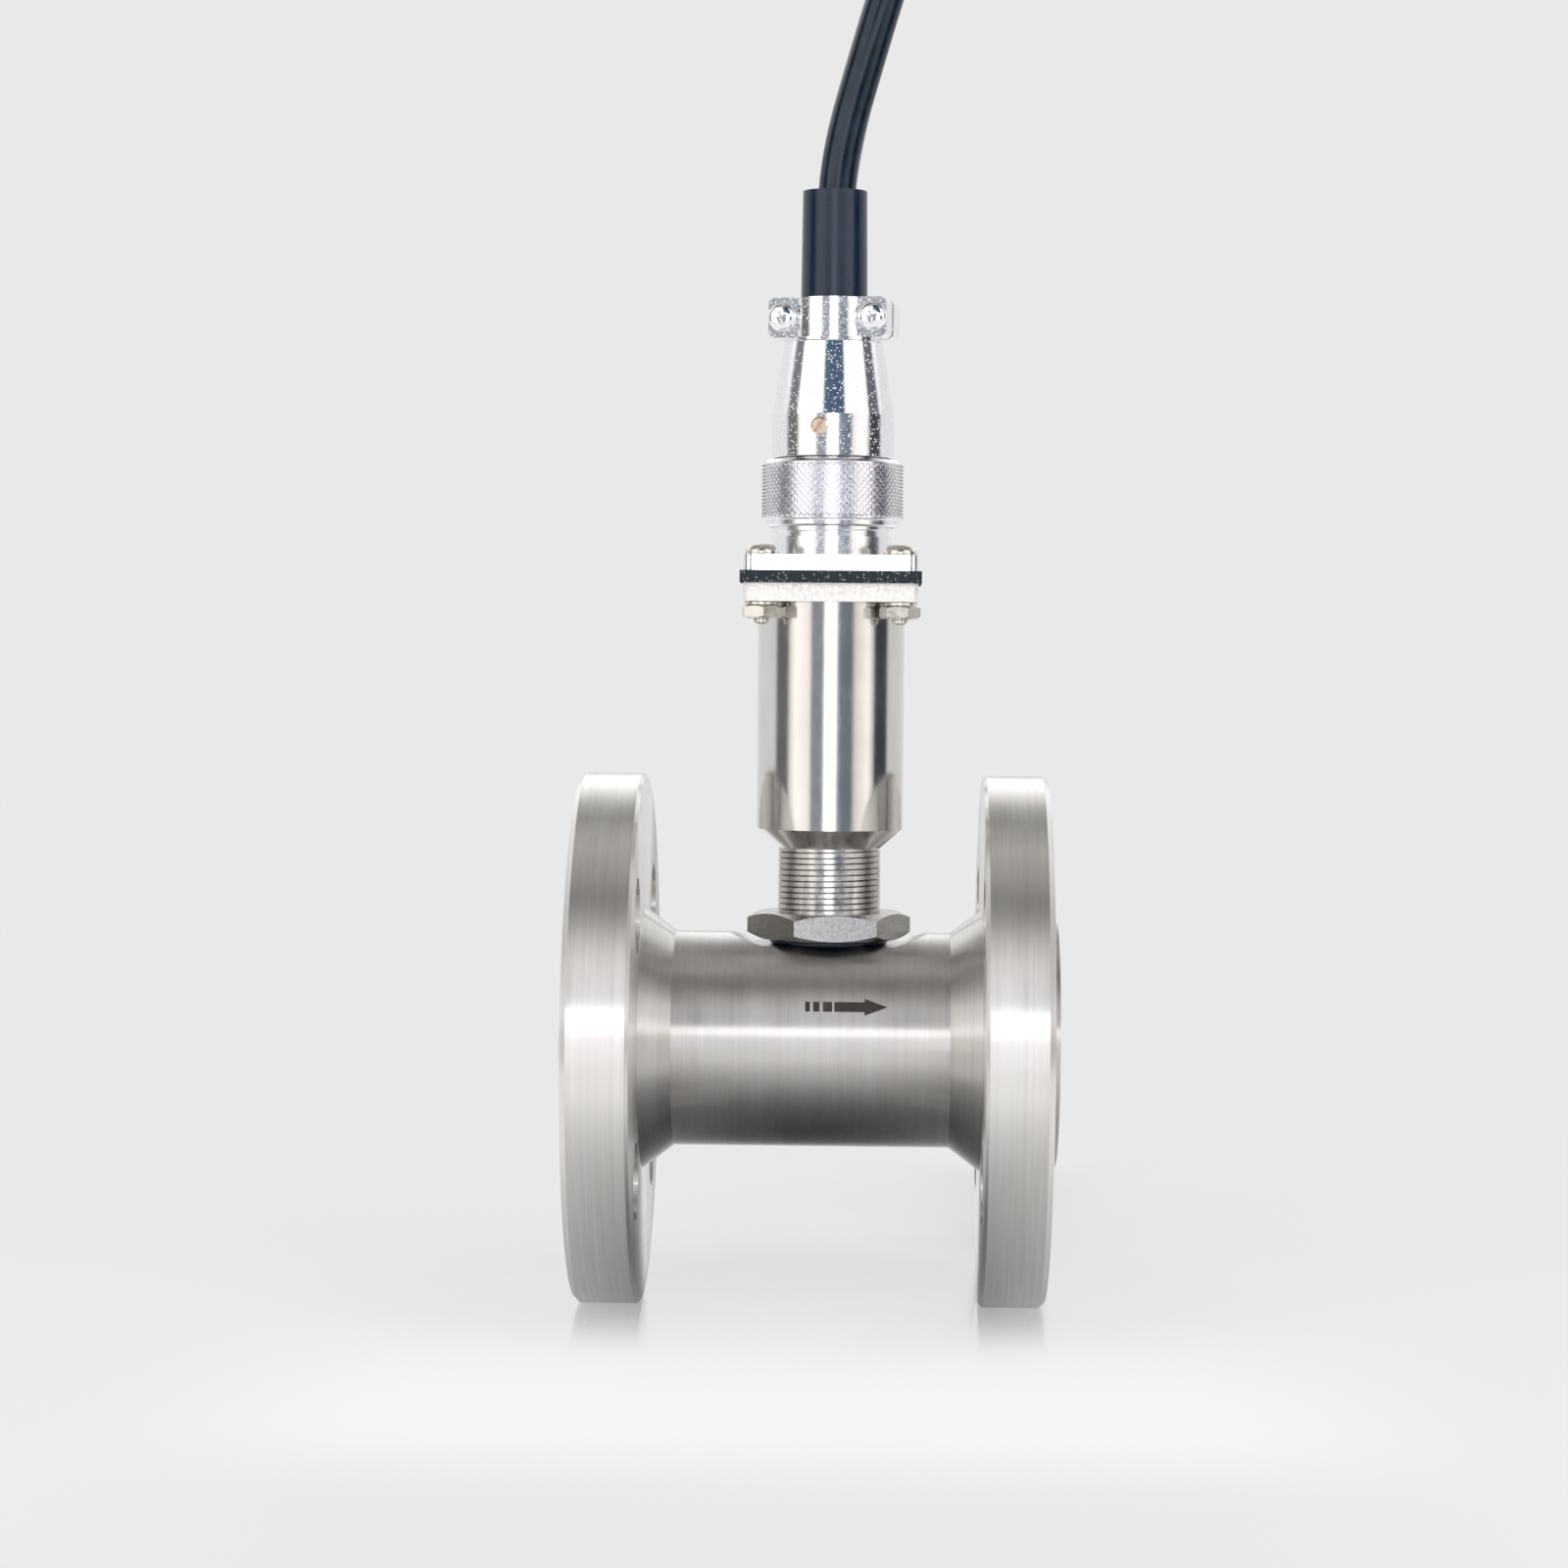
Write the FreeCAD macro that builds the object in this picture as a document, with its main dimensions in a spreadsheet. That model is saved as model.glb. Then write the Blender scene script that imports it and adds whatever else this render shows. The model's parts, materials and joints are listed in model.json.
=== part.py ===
import FreeCAD, Part
import math
import os
import Sketcher
from FreeCAD import Rotation, Vector

# A small turbine flow meter for a 15 mm line: a turned pipe body between two round flanges, a helical
# rotor on a shaft between two vaned guides, and a threaded pickup sensor that stands on the body.
# A plug with a knurled coupling ring screws on the sensor's socket and carries the signal cable.
#
# Millimetres. The origin is on the bore's axis, midway between the two sealing faces.
# +X is the flow direction and +Z points up along the sensor.

SIZES = {
    # pipe body and flanges
    "face_to_face": 87.2,
    "bore_diameter": 16,
    "rotor_bore_diameter": 15,
    "body_diameter": 38.4,
    "flange_diameter": 95,
    "flange_thickness": 11.6,
    "outer_rim_bevel": 1.0,
    "inner_rim_bevel": 0.6,
    "raised_face_diameter": 45,
    "raised_face_height": 1.9,
    "hub_diameter": 46.8,
    "hub_length": 5.6,
    "bolt_circle_diameter": 65,
    "bolt_hole_diameter": 14,
    "bolt_count": 4,
    # seat of the sensor on the body
    "sensor_offset": 2.8,
    "spot_depth": 2.0,
    "spot_diameter": 29,
    "spot_flare": 3.3,
    "floor_wall": 1.6,
    "tip_gap": 0.4,
    "thread_clearance": 0.05,
    # flow straightening guides and their retaining rings
    "retainer_position": 19.2,
    "retainer_thickness": 1.0,
    "retainer_depth": 0.6,
    "retainer_width": 1.9,
    "retainer_wrap": 320,
    "retainer_play": 0.1,
    "guide_hub_diameter": 7,
    "guide_vane_count": 4,
    "guide_vane_thickness": 1.2,
    "guide_fit": 0.05,
    "guide_nose_length": 7,
    "guide_nose_overhang": 3,
    # rotor and its bearings
    "rotor_length": 7,
    "rotor_end_gap": 0.5,
    "rotor_hub_diameter": 6.6,
    "rotor_tip_gap": 0.4,
    "blade_count": 6,
    "blade_thickness": 0.7,
    "blade_twist": 48,
    "shaft_diameter": 2,
    "shaft_end_play": 0.15,
    "bearing_diameter": 4,
    "bearing_length": 5,
    "bearing_clearance": 0.05,
    "thrust_pad_thickness": 1.2,
    # sensor housing, lock nut and seal
    "stub_diameter": 16.9,
    "stub_length": 23.8,
    "stub_bevel": 0.8,
    "housing_diameter": 26.2,
    "cone_length": 4.1,
    "housing_length": 40.4,
    "housing_wall": 1.8,
    "coil_bore_diameter": 13.4,
    "tip_wall": 1.0,
    "cavity_floor": 1.4,
    "seal_height": 1.0,
    "seal_diameter": 24.4,
    "nut_height": 4.8,
    "nut_across_flats": 25.4,
    "nut_bevel": 1.1,
    "nut_turn": 6,
    # pickup inside the housing
    "pole_diameter": 3,
    "pole_length": 15,
    "bobbin_length": 13,
    "bobbin_flange_thickness": 1,
    "bobbin_core_diameter": 5,
    "bobbin_gap": 0.1,
    "coil_diameter": 11.6,
    "magnet_diameter": 8,
    "magnet_length": 5,
    "board_diameter": 21,
    "board_thickness": 1.6,
    "board_drop": 4.5,
    "coil_lead_diameter": 0.8,
    "coil_lead_spread": 11.4,
    # square joint between housing and socket
    "plate_side": 30.8,
    "plate_height": 3.25,
    "plate_corner_radius": 1.6,
    "plate_hole_diameter": 20.4,
    "gasket_side": 32,
    "gasket_height": 2.15,
    "socket_flange_height": 2.8,
    "screw_spacing": 24.4,
    "screw_diameter": 2.85,
    "screw_clearance": 0.2,
    "screw_head_diameter": 5.9,
    "screw_head_height": 1.9,
    "screw_head_crown": 0.8,
    "screw_end": 1.1,
    "screw_count": 4,
    "washer_diameter": 5.8,
    "washer_height": 0.8,
    "screw_nut_across_flats": 6.35,
    "screw_nut_height": 2.1,
    # socket
    "neck_diameter": 21.5,
    "neck_collar_height": 3.4,
    "neck_height": 12.1,
    "neck_thread_root": 20.4,
    "skirt_diameter": 19.4,
    "skirt_length": 6,
    "socket_bore_diameter": 18.5,
    "insert_diameter": 17,
    "insert_ledge": 3.5,
    "insert_rim_height": 1.2,
    "insert_length": 10,
    "pin_count": 4,
    "pin_circle_diameter": 8,
    "pin_diameter": 1.6,
    "pin_reach": 5,
    # plug and coupling ring
    "plug_turn": 12,
    "barrel_diameter": 17.8,
    "barrel_bore_diameter": 15.4,
    "barrel_length": 7.4,
    "shoulder_diameter": 20.6,
    "shoulder_height": 1.4,
    "plug_rear_diameter": 18,
    "plug_rear_length": 9,
    "ring_diameter": 25.3,
    "ring_collar_diameter": 24.1,
    "ring_collar_height": 1.2,
    "ring_collar_bevel": 0.4,
    "ring_bore_diameter": 21.9,
    "ring_skirt": 8.5,
    "ring_lip_height": 2.2,
    "ring_recess": 1.15,
    "ring_play": 0.2,
    "ring_lip_clearance": 0.25,
    "snap_ring_thickness": 0.9,
    "snap_ring_diameter": 20.4,
    "snap_groove_depth": 0.3,
    "snap_ring_wrap": 325,
    "plug_insert_gap": 0.6,
    "plug_insert_length": 13,
    "contact_diameter": 2.8,
    "contact_wall": 0.45,
    "contact_depth": 6,
    "contact_tail": 2.5,
    # backshell and set screw
    "backshell_gap": 0.3,
    "backshell_diameter": 21.9,
    "backshell_end_diameter": 17.6,
    "backshell_straight": 7.65,
    "backshell_length": 20.85,
    "backshell_bore_end": 12.8,
    "backshell_edge": 0.3,
    "set_screw_diameter": 3.1,
    "set_screw_height": 5.4,
    "set_screw_slot": 0.6,
    "set_screw_slot_depth": 0.7,
    "set_screw_proud": 0.25,
    "set_screw_slot_turn": 35,
    # cable clamp and boot
    "clamp_neck_height": 0.5,
    "clamp_neck_diameter": 17.2,
    "clamp_width": 21.4,
    "clamp_height": 7.1,
    "clamp_bulge_diameter": 15.6,
    "clamp_ear_depth": 5.6,
    "clamp_split": 0.8,
    "clamp_corner_radius": 1.2,
    "clamp_screw_spacing": 16.4,
    "clamp_screw_diameter": 2.6,
    "clamp_screw_head": 5,
    "clamp_screw_head_height": 1.3,
    "boot_diameter": 11.9,
    "boot_top_diameter": 11.5,
    "boot_inside": 5.5,
    "boot_above": 19.2,
    "boot_fit": 0.1,
    # signal cable, its stored hank, tie and bare ends
    "cable_diameter": 6.7,
    "hank_length": 120,
    "hank_loop_radius": 20,
    "hank_near_end": 51.6,
    "hank_side": 38.1,
    "hank_turn": -1.9,
    "tie_length": 6,
    "tie_thickness": 1,
    "lead_diameter": 1.9,
    "lead_length": 16,
}

# The cable's route from inside the boot to the top of the stored hank, picked by hand.
CABLE_ROUTE = [
    (2.8, 0.0, 128.0),
    (2.8, 0.0, 143.0),
    (3.4, 0.0, 158.0),
    (9.0, 0.0, 178.0),
    (15.4, 1.5, 199.5),
    (18.6, 11.5, 218.5),
    (20.2, 30.0, 230.0),
    (19.6, 51.5, 230.0),
    (16.6, 70.0, 219.0),
    (12.0, 80.0, 200.5),
    (5.7, 81.5, 180.5),
    (1.8, 81.5, 160.0),
    (1.4, 81.5, 131.0),
    (1.5, 81.5, 101.0),
    (1.5, 82.0, 74.0),
    (1.2, 82.6, 50.0),
    (1.0, 86.1, 29.1),
    (5.4, 95.0, 13.2),
    (13.3, 105.4, 3.7),
    (24.6, 119.2, -0.1),
    (34.8, 133.9, -0.2),
]

doc = FreeCAD.newDocument("turbine_flow_meter")

sheet = doc.addObject("Spreadsheet::Sheet", "sizes")
for row, (alias, number) in enumerate(SIZES.items(), start=1):
    sheet.set(f"A{row}", alias)
    sheet.set(f"B{row}", str(number))
    sheet.setAlias(f"B{row}", alias)
doc.recompute()

nodes = []


# Helpers for sketches, bodies and placements

def origin_feature(body, role):
    """One of the body's own origin planes or axes."""
    for feature in body.Origin.OriginFeatures:
        if feature.Role == role:
            return feature
    raise ValueError(f"{body.Label} has no {role}")


def new_body(label):
    """A body that becomes one node; it may hold several separate solids."""
    body = doc.addObject("PartDesign::Body", label)
    body.Label = label
    body.AllowCompound = True
    nodes.append(body)
    return body


def place(piece, along=None, up=None, turn=None):
    """Bind the piece's place on X and Z, and its turn about Z in degrees."""
    if along:
        piece.setExpression("Placement.Base.x", along)
    if up:
        piece.setExpression("Placement.Base.z", up)
    if turn:
        piece.setExpression("Placement.Rotation.Angle", turn)


def above(label, rise="0"):
    """The level that is rise above the origin of another piece."""
    return f"<<{label}>>.Placement.Base.z + ({rise}) * 1 mm"


def new_sketch(body, name, plane="XY_Plane", lift=None, across=None, turn=None):
    """A sketch on one of the body's planes, optionally lifted, shifted along its X or turned."""
    sketch = body.newObject("Sketcher::SketchObject", f"{body.Label}_{name}")
    sketch.AttachmentSupport = [(origin_feature(body, plane), "")]
    sketch.MapMode = "FlatFace"
    if lift:
        sketch.setExpression("AttachmentOffset.Base.z", lift)
    if across:
        sketch.setExpression("AttachmentOffset.Base.x", across)
    if turn:
        sketch.setExpression("AttachmentOffset.Rotation.Angle", turn)
    return sketch


def pin_point(sketch, curve, end, across, up):
    """Hold one point of a curve at two expressions, measured from the sketch's origin."""
    for kind, expression in (("DistanceX", across), ("DistanceY", up)):
        index = sketch.addConstraint(Sketcher.Constraint(kind, -1, 1, curve, end, 1.0))
        sketch.setExpression(f"Constraints[{index}]", expression)


def add_outline(sketch, corners):
    """A closed outline of straight lines; each corner is a pair of expressions."""
    count = len(corners)
    first = sketch.GeometryCount
    for number in range(count):
        here = 2 * math.pi * number / count
        there = 2 * math.pi * (number + 1) / count
        start = Vector(math.cos(here), math.sin(here), 0)
        finish = Vector(math.cos(there), math.sin(there), 0)
        sketch.addGeometry(Part.LineSegment(start, finish), False)
    for number in range(count):
        after = first + (number + 1) % count
        sketch.addConstraint(Sketcher.Constraint("Coincident", first + number, 2, after, 1))
    for number, (across, up) in enumerate(corners):
        pin_point(sketch, first + number, 1, across, up)


def add_circle(sketch, diameter, across="0", up="0"):
    """A circle whose diameter and centre are expressions."""
    curve = sketch.addGeometry(Part.Circle(Vector(0, 0, 0), Vector(0, 0, 1), 1), False)
    index = sketch.addConstraint(Sketcher.Constraint("Radius", curve, 1.0))
    sketch.setExpression(f"Constraints[{index}]", f"({diameter}) / 2")
    pin_point(sketch, curve, 3, across, up)


def add_rectangle(sketch, left, right, bottom, top):
    """A rectangle between four expressions."""
    add_outline(sketch, [(left, bottom), (right, bottom), (right, top), (left, top)])


def add_hexagon(sketch, across_flats, across="0", up="0"):
    """A regular hexagon with two corners on its X axis."""
    corners = []
    for number in range(6):
        reach = f"({across_flats}) / (2 * cos(30 deg))"
        corners.append((
            f"{across} + {reach} * cos({60 * number} deg)",
            f"{up} + {reach} * sin({60 * number} deg)",
        ))
    add_outline(sketch, corners)


def add_feature(body, kind, name):
    return body.newObject(f"PartDesign::{kind}", f"{body.Label}_{name}")


def pad(body, sketch, length, name="pad", reverse=False):
    feature = add_feature(body, "Pad", name)
    feature.Profile = sketch
    feature.setExpression("Length", length)
    feature.Reversed = reverse
    return feature


def pocket(body, sketch, depth, name="pocket", upwards=False):
    """Cut a sketch into the body; upwards cuts along the sketch's normal."""
    doc.recompute()
    before = body.Shape.Volume
    feature = add_feature(body, "Pocket", name)
    feature.Profile = sketch
    feature.setExpression("Length", depth)
    feature.Reversed = upwards
    doc.recompute()
    if body.Shape.Volume >= before:
        raise ValueError(f"{feature.Name} cuts nothing")
    return feature


def revolve(body, corners, name="turned", axis="V_Axis", across=None, lift=None, wrap=None):
    """Turn a closed outline of the XZ plane about the sketch's vertical or horizontal axis."""
    sketch = new_sketch(body, f"{name}_outline", "XZ_Plane", lift=lift, across=across)
    add_outline(sketch, corners)
    feature = add_feature(body, "Revolution", name)
    feature.Profile = sketch
    feature.ReferenceAxis = (sketch, [axis])
    feature.Angle = 360
    if wrap:
        feature.setExpression("Angle", wrap)
    return feature


def groove(body, corners, name="groove", axis="V_Axis", across=None):
    """Turn a closed outline of the XZ plane and cut it away."""
    doc.recompute()
    before = body.Shape.Volume
    sketch = new_sketch(body, f"{name}_outline", "XZ_Plane", across=across)
    add_outline(sketch, corners)
    feature = add_feature(body, "Groove", name)
    feature.Profile = sketch
    feature.ReferenceAxis = (sketch, [axis])
    feature.Angle = 360
    doc.recompute()
    if body.Shape.Volume >= before:
        raise ValueError(f"{feature.Name} cuts nothing")
    return feature


def repeat_around(body, originals, count, name="around"):
    """Repeat features around the body's Z axis and make the pattern its tip."""
    doc.recompute()
    feature = add_feature(body, "PolarPattern", name)
    feature.Originals = originals
    feature.Axis = (origin_feature(body, "Z_Axis"), [""])
    feature.Angle = 360
    feature.setExpression("Occurrences", count)
    body.Tip = feature
    return feature


def round_corners(body, radius, name="corners"):
    """Round the four upright edges of a plate that lie farthest from its axis."""
    doc.recompute()
    base = body.Tip
    upright = []
    for number, edge in enumerate(base.Shape.Edges, start=1):
        box = edge.BoundBox
        if box.XLength < 1e-6 and box.YLength < 1e-6:
            upright.append((-math.hypot(box.Center.x, box.Center.y), f"Edge{number}"))
    feature = add_feature(body, "Fillet", name)
    feature.Base = (base, [edge for _, edge in sorted(upright)[:4]])
    feature.setExpression("Radius", radius)
    return feature


# Levels and lengths that several pieces share

BODY_HALF = (
    "(sizes.face_to_face / 2 - sizes.raised_face_height - sizes.flange_thickness - sizes.hub_length)"
)
ROTOR_INLET_END = "(sizes.sensor_offset - sizes.rotor_length / 2 - sizes.rotor_end_gap)"
ROTOR_OUTLET_END = "(sizes.sensor_offset + sizes.rotor_length / 2 + sizes.rotor_end_gap)"
SPOT_LEVEL = "(sizes.body_diameter / 2 - sizes.spot_depth)"
HOLE_FLOOR = "(sizes.bore_diameter / 2 + sizes.floor_wall)"
FLANGE_FRONT = "(sizes.hub_length + sizes.flange_thickness)"


# Pipe body and flanges

def make_meter_body():
    body = new_body("meter_body")
    bore = "sizes.bore_diameter / 2"
    land = "sizes.rotor_bore_diameter / 2"
    outside = "sizes.body_diameter / 2"
    groove_floor = "sizes.bore_diameter / 2 + sizes.retainer_depth + sizes.retainer_play"
    inner = "sizes.retainer_position"
    outer = "(sizes.retainer_position + sizes.retainer_thickness + sizes.retainer_play)"
    revolve(body, axis="H_Axis", corners=[
        (f"-{BODY_HALF}", bore),
        (f"-{BODY_HALF}", outside),
        (BODY_HALF, outside),
        (BODY_HALF, bore),
        (outer, bore),
        (outer, groove_floor),
        (inner, groove_floor),
        (inner, bore),
        (ROTOR_OUTLET_END, bore),
        (ROTOR_OUTLET_END, land),
        (ROTOR_INLET_END, land),
        (ROTOR_INLET_END, bore),
        (f"-{inner}", bore),
        (f"-{inner}", groove_floor),
        (f"-{outer}", groove_floor),
        (f"-{outer}", bore),
    ])
    hole = "sizes.stub_diameter / 2 + sizes.thread_clearance"
    spot = "sizes.spot_diameter / 2"
    overrun = 1
    flare_top = f"sizes.body_diameter / 2 + {overrun}"
    flare = f"sizes.spot_flare * (sizes.spot_depth + {overrun}) / sizes.spot_depth"
    groove(body, name="sensor_seat", across="sizes.sensor_offset", corners=[
        ("0", HOLE_FLOOR),
        (hole, HOLE_FLOOR),
        (hole, SPOT_LEVEL),
        (spot, SPOT_LEVEL),
        (f"{spot} + {flare}", flare_top),
        ("0", flare_top),
    ])


def make_flange(label, side):
    """A welding-neck flange; its own Z axis points away from the meter's middle."""
    body = new_body(label)
    body.Placement.Rotation = Rotation(Vector(0, 1, 0), 90 * side)
    place(body, along=f"{side} * {BODY_HALF}")
    bore = "sizes.bore_diameter / 2"
    rim = "sizes.flange_diameter / 2"
    raised = "sizes.raised_face_diameter / 2"
    face = f"{FLANGE_FRONT} + sizes.raised_face_height"
    revolve(body, corners=[
        (bore, "0"),
        ("sizes.body_diameter / 2", "0"),
        ("sizes.hub_diameter / 2", "sizes.hub_length"),
        (f"{rim} - sizes.inner_rim_bevel", "sizes.hub_length"),
        (rim, "sizes.hub_length + sizes.inner_rim_bevel"),
        (rim, f"{FLANGE_FRONT} - sizes.outer_rim_bevel"),
        (f"{rim} - sizes.outer_rim_bevel", FLANGE_FRONT),
        (raised, FLANGE_FRONT),
        (raised, face),
        (bore, face),
    ])
    reach = "sizes.bolt_circle_diameter / 2 * cos(45 deg)"
    sketch = new_sketch(body, "bolt_hole_circle", lift="sizes.hub_length")
    add_circle(sketch, "sizes.bolt_hole_diameter", reach, reach)
    hole = pocket(body, sketch, "sizes.flange_thickness", "bolt_hole", upwards=True)
    repeat_around(body, [hole], "sizes.bolt_count", "bolt_holes")


# Parts in the bore

def make_guide(label, side, inner_end, vane_length):
    """A round hub with a rounded nose and flat vanes; its own Z axis points away from the rotor."""
    body = new_body(label)
    body.Placement.Rotation = Rotation(Vector(0, 1, 0), 90 * side)
    place(body, along=inner_end)
    straight = f"{vane_length} + sizes.guide_nose_overhang - sizes.guide_nose_length"
    sketch = new_sketch(body, "hub_circle")
    add_circle(sketch, "sizes.guide_hub_diameter")
    pad(body, sketch, straight, "hub")
    nose = add_feature(body, "AdditiveEllipsoid", "nose")
    nose.AttachmentSupport = [(origin_feature(body, "XY_Plane"), "")]
    nose.MapMode = "FlatFace"
    nose.setExpression("AttachmentOffset.Base.z", straight)
    nose.setExpression("Radius1", "sizes.guide_nose_length")
    nose.setExpression("Radius2", "sizes.guide_hub_diameter / 2")
    nose.setExpression("Radius3", "sizes.guide_hub_diameter / 2")
    nose.Angle1 = 0
    sketch = new_sketch(body, "vane_outline")
    add_rectangle(
        sketch,
        "sizes.guide_hub_diameter / 4 + sizes.bearing_diameter / 4",
        "sizes.bore_diameter / 2 - sizes.guide_fit",
        "-sizes.guide_vane_thickness / 2",
        "sizes.guide_vane_thickness / 2",
    )
    vane = pad(body, sketch, vane_length, "vane")
    repeat_around(body, [vane], "sizes.guide_vane_count", "vanes")
    sketch = new_sketch(body, "bearing_seat_circle")
    add_circle(sketch, "sizes.bearing_diameter")
    depth = "sizes.bearing_length + sizes.thrust_pad_thickness"
    seat = pocket(body, sketch, depth, "bearing_seat", upwards=True)
    body.Tip = seat


def make_bearing(label, side, inner_end):
    """A carbide bush that fills the mouth of the guide's blind hole."""
    body = new_body(label)
    body.Placement.Rotation = Rotation(Vector(0, 1, 0), 90 * side)
    place(body, along=inner_end)
    sketch = new_sketch(body, "ring")
    add_circle(sketch, "sizes.bearing_diameter")
    add_circle(sketch, "sizes.shaft_diameter + 2 * sizes.bearing_clearance")
    pad(body, sketch, "sizes.bearing_length")


def make_thrust_pad(label, side, inner_end):
    """A hard disc at the bottom of the guide's blind hole, which stops the shaft's end."""
    body = new_body(label)
    body.Placement.Rotation = Rotation(Vector(0, 1, 0), 90 * side)
    place(body, along=f"{inner_end} + {side} * sizes.bearing_length")
    sketch = new_sketch(body, "disc")
    add_circle(sketch, "sizes.bearing_diameter")
    pad(body, sketch, "sizes.thrust_pad_thickness")


def make_retaining_ring(label, side):
    """A spring ring with a gap, in the body's groove against the guide's vanes."""
    body = new_body(label)
    body.Placement.Rotation = Rotation(Vector(0, 1, 0), 90 * side)
    place(body, along=f"{side} * sizes.retainer_position")
    outside = "sizes.bore_diameter / 2 + sizes.retainer_depth"
    inside = f"{outside} - sizes.retainer_width"
    revolve(body, wrap="sizes.retainer_wrap", corners=[
        (inside, "0"),
        (outside, "0"),
        (outside, "sizes.retainer_thickness"),
        (inside, "sizes.retainer_thickness"),
    ])


def make_rotor():
    """A hub with twisted blades, lofted through sections that turn as they go along the axis."""
    body = new_body("rotor")
    body.Placement.Rotation = Rotation(Vector(0, 1, 0), 90)
    place(body, along="sizes.sensor_offset - sizes.rotor_length / 2")
    sketch = new_sketch(body, "hub_circle")
    add_circle(sketch, "sizes.rotor_hub_diameter")
    pad(body, sketch, "sizes.rotor_length", "hub")
    steps = 3
    sections = []
    for number in range(steps + 1):
        share = f"{number} / {steps}"
        section = new_sketch(
            body,
            f"blade_section_{number}",
            lift=f"sizes.rotor_length * {share}",
            turn=f"sizes.blade_twist * {share}",
        )
        add_rectangle(
            section,
            "sizes.rotor_hub_diameter / 4 + sizes.shaft_diameter / 4",
            "sizes.rotor_bore_diameter / 2 - sizes.rotor_tip_gap",
            "-sizes.blade_thickness / 2",
            "sizes.blade_thickness / 2",
        )
        sections.append(section)
    blade = add_feature(body, "AdditiveLoft", "blade")
    blade.Profile = sections[0]
    blade.Sections = sections[1:]
    repeat_around(body, [blade], "sizes.blade_count", "blades")
    sketch = new_sketch(body, "shaft_circle")
    add_circle(sketch, "sizes.shaft_diameter")
    body.Tip = pocket(body, sketch, "sizes.rotor_length", "shaft_hole", upwards=True)


def make_rotor_shaft():
    shaft = doc.addObject("Part::Cylinder", "rotor_shaft")
    shaft.Label = "rotor_shaft"
    end = "sizes.rotor_end_gap + sizes.bearing_length - sizes.shaft_end_play"
    shaft.setExpression("Radius", "sizes.shaft_diameter / 2")
    shaft.setExpression("Height", f"sizes.rotor_length + 2 * ({end})")
    shaft.Placement.Rotation = Rotation(Vector(0, 1, 0), 90)
    place(shaft, along=f"sizes.sensor_offset - sizes.rotor_length / 2 - ({end})")
    nodes.append(shaft)


# Sensor on the body

def make_sensor_housing():
    """A threaded stub with a closed tip that widens over a cone into the round housing."""
    body = new_body("sensor_housing")
    place(body, along="sizes.sensor_offset", up=f"{HOLE_FLOOR} + sizes.tip_gap")
    stub = "sizes.stub_diameter / 2"
    outside = "sizes.housing_diameter / 2"
    cavity = f"{outside} - sizes.housing_wall"
    coil_bore = "sizes.coil_bore_diameter / 2"
    cone_top = "(sizes.stub_length + sizes.cone_length)"
    cavity_floor = f"{cone_top} + sizes.cavity_floor"
    top = f"{cone_top} + sizes.housing_length"
    revolve(body, corners=[
        ("0", "0"),
        (f"{stub} - sizes.stub_bevel", "0"),
        (stub, "sizes.stub_bevel"),
        (stub, "sizes.stub_length"),
        (outside, cone_top),
        (outside, top),
        (cavity, top),
        (cavity, cavity_floor),
        (coil_bore, cavity_floor),
        (coil_bore, "sizes.tip_wall"),
        ("0", "sizes.tip_wall"),
    ])


def make_seal_ring():
    body = new_body("seal_ring")
    place(body, along="sizes.sensor_offset", up=SPOT_LEVEL)
    sketch = new_sketch(body, "ring")
    add_circle(sketch, "sizes.seal_diameter")
    add_circle(sketch, "sizes.stub_diameter + 2 * sizes.thread_clearance")
    pad(body, sketch, "sizes.seal_height")


def make_lock_nut():
    """A thin hexagon nut, bevelled on both faces."""
    body = new_body("lock_nut")
    place(
        body,
        along="sizes.sensor_offset",
        up=above("seal_ring", "sizes.seal_height"),
        turn="sizes.nut_turn",
    )
    sketch = new_sketch(body, "hexagon")
    add_hexagon(sketch, "sizes.nut_across_flats")
    add_circle(sketch, "sizes.stub_diameter + 2 * sizes.thread_clearance")
    pad(body, sketch, "sizes.nut_height")
    reach = "sizes.nut_across_flats / (2 * cos(30 deg))"
    for name, level, inward in (("lower", "0", 1), ("upper", "sizes.nut_height", -1)):
        groove(body, name=f"{name}_bevel", corners=[
            (f"{reach} - sizes.nut_bevel * 2", level),
            (f"{reach} + sizes.nut_bevel", level),
            (f"{reach} + sizes.nut_bevel", f"{level} + {inward} * sizes.nut_bevel * 1.5"),
        ])


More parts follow.
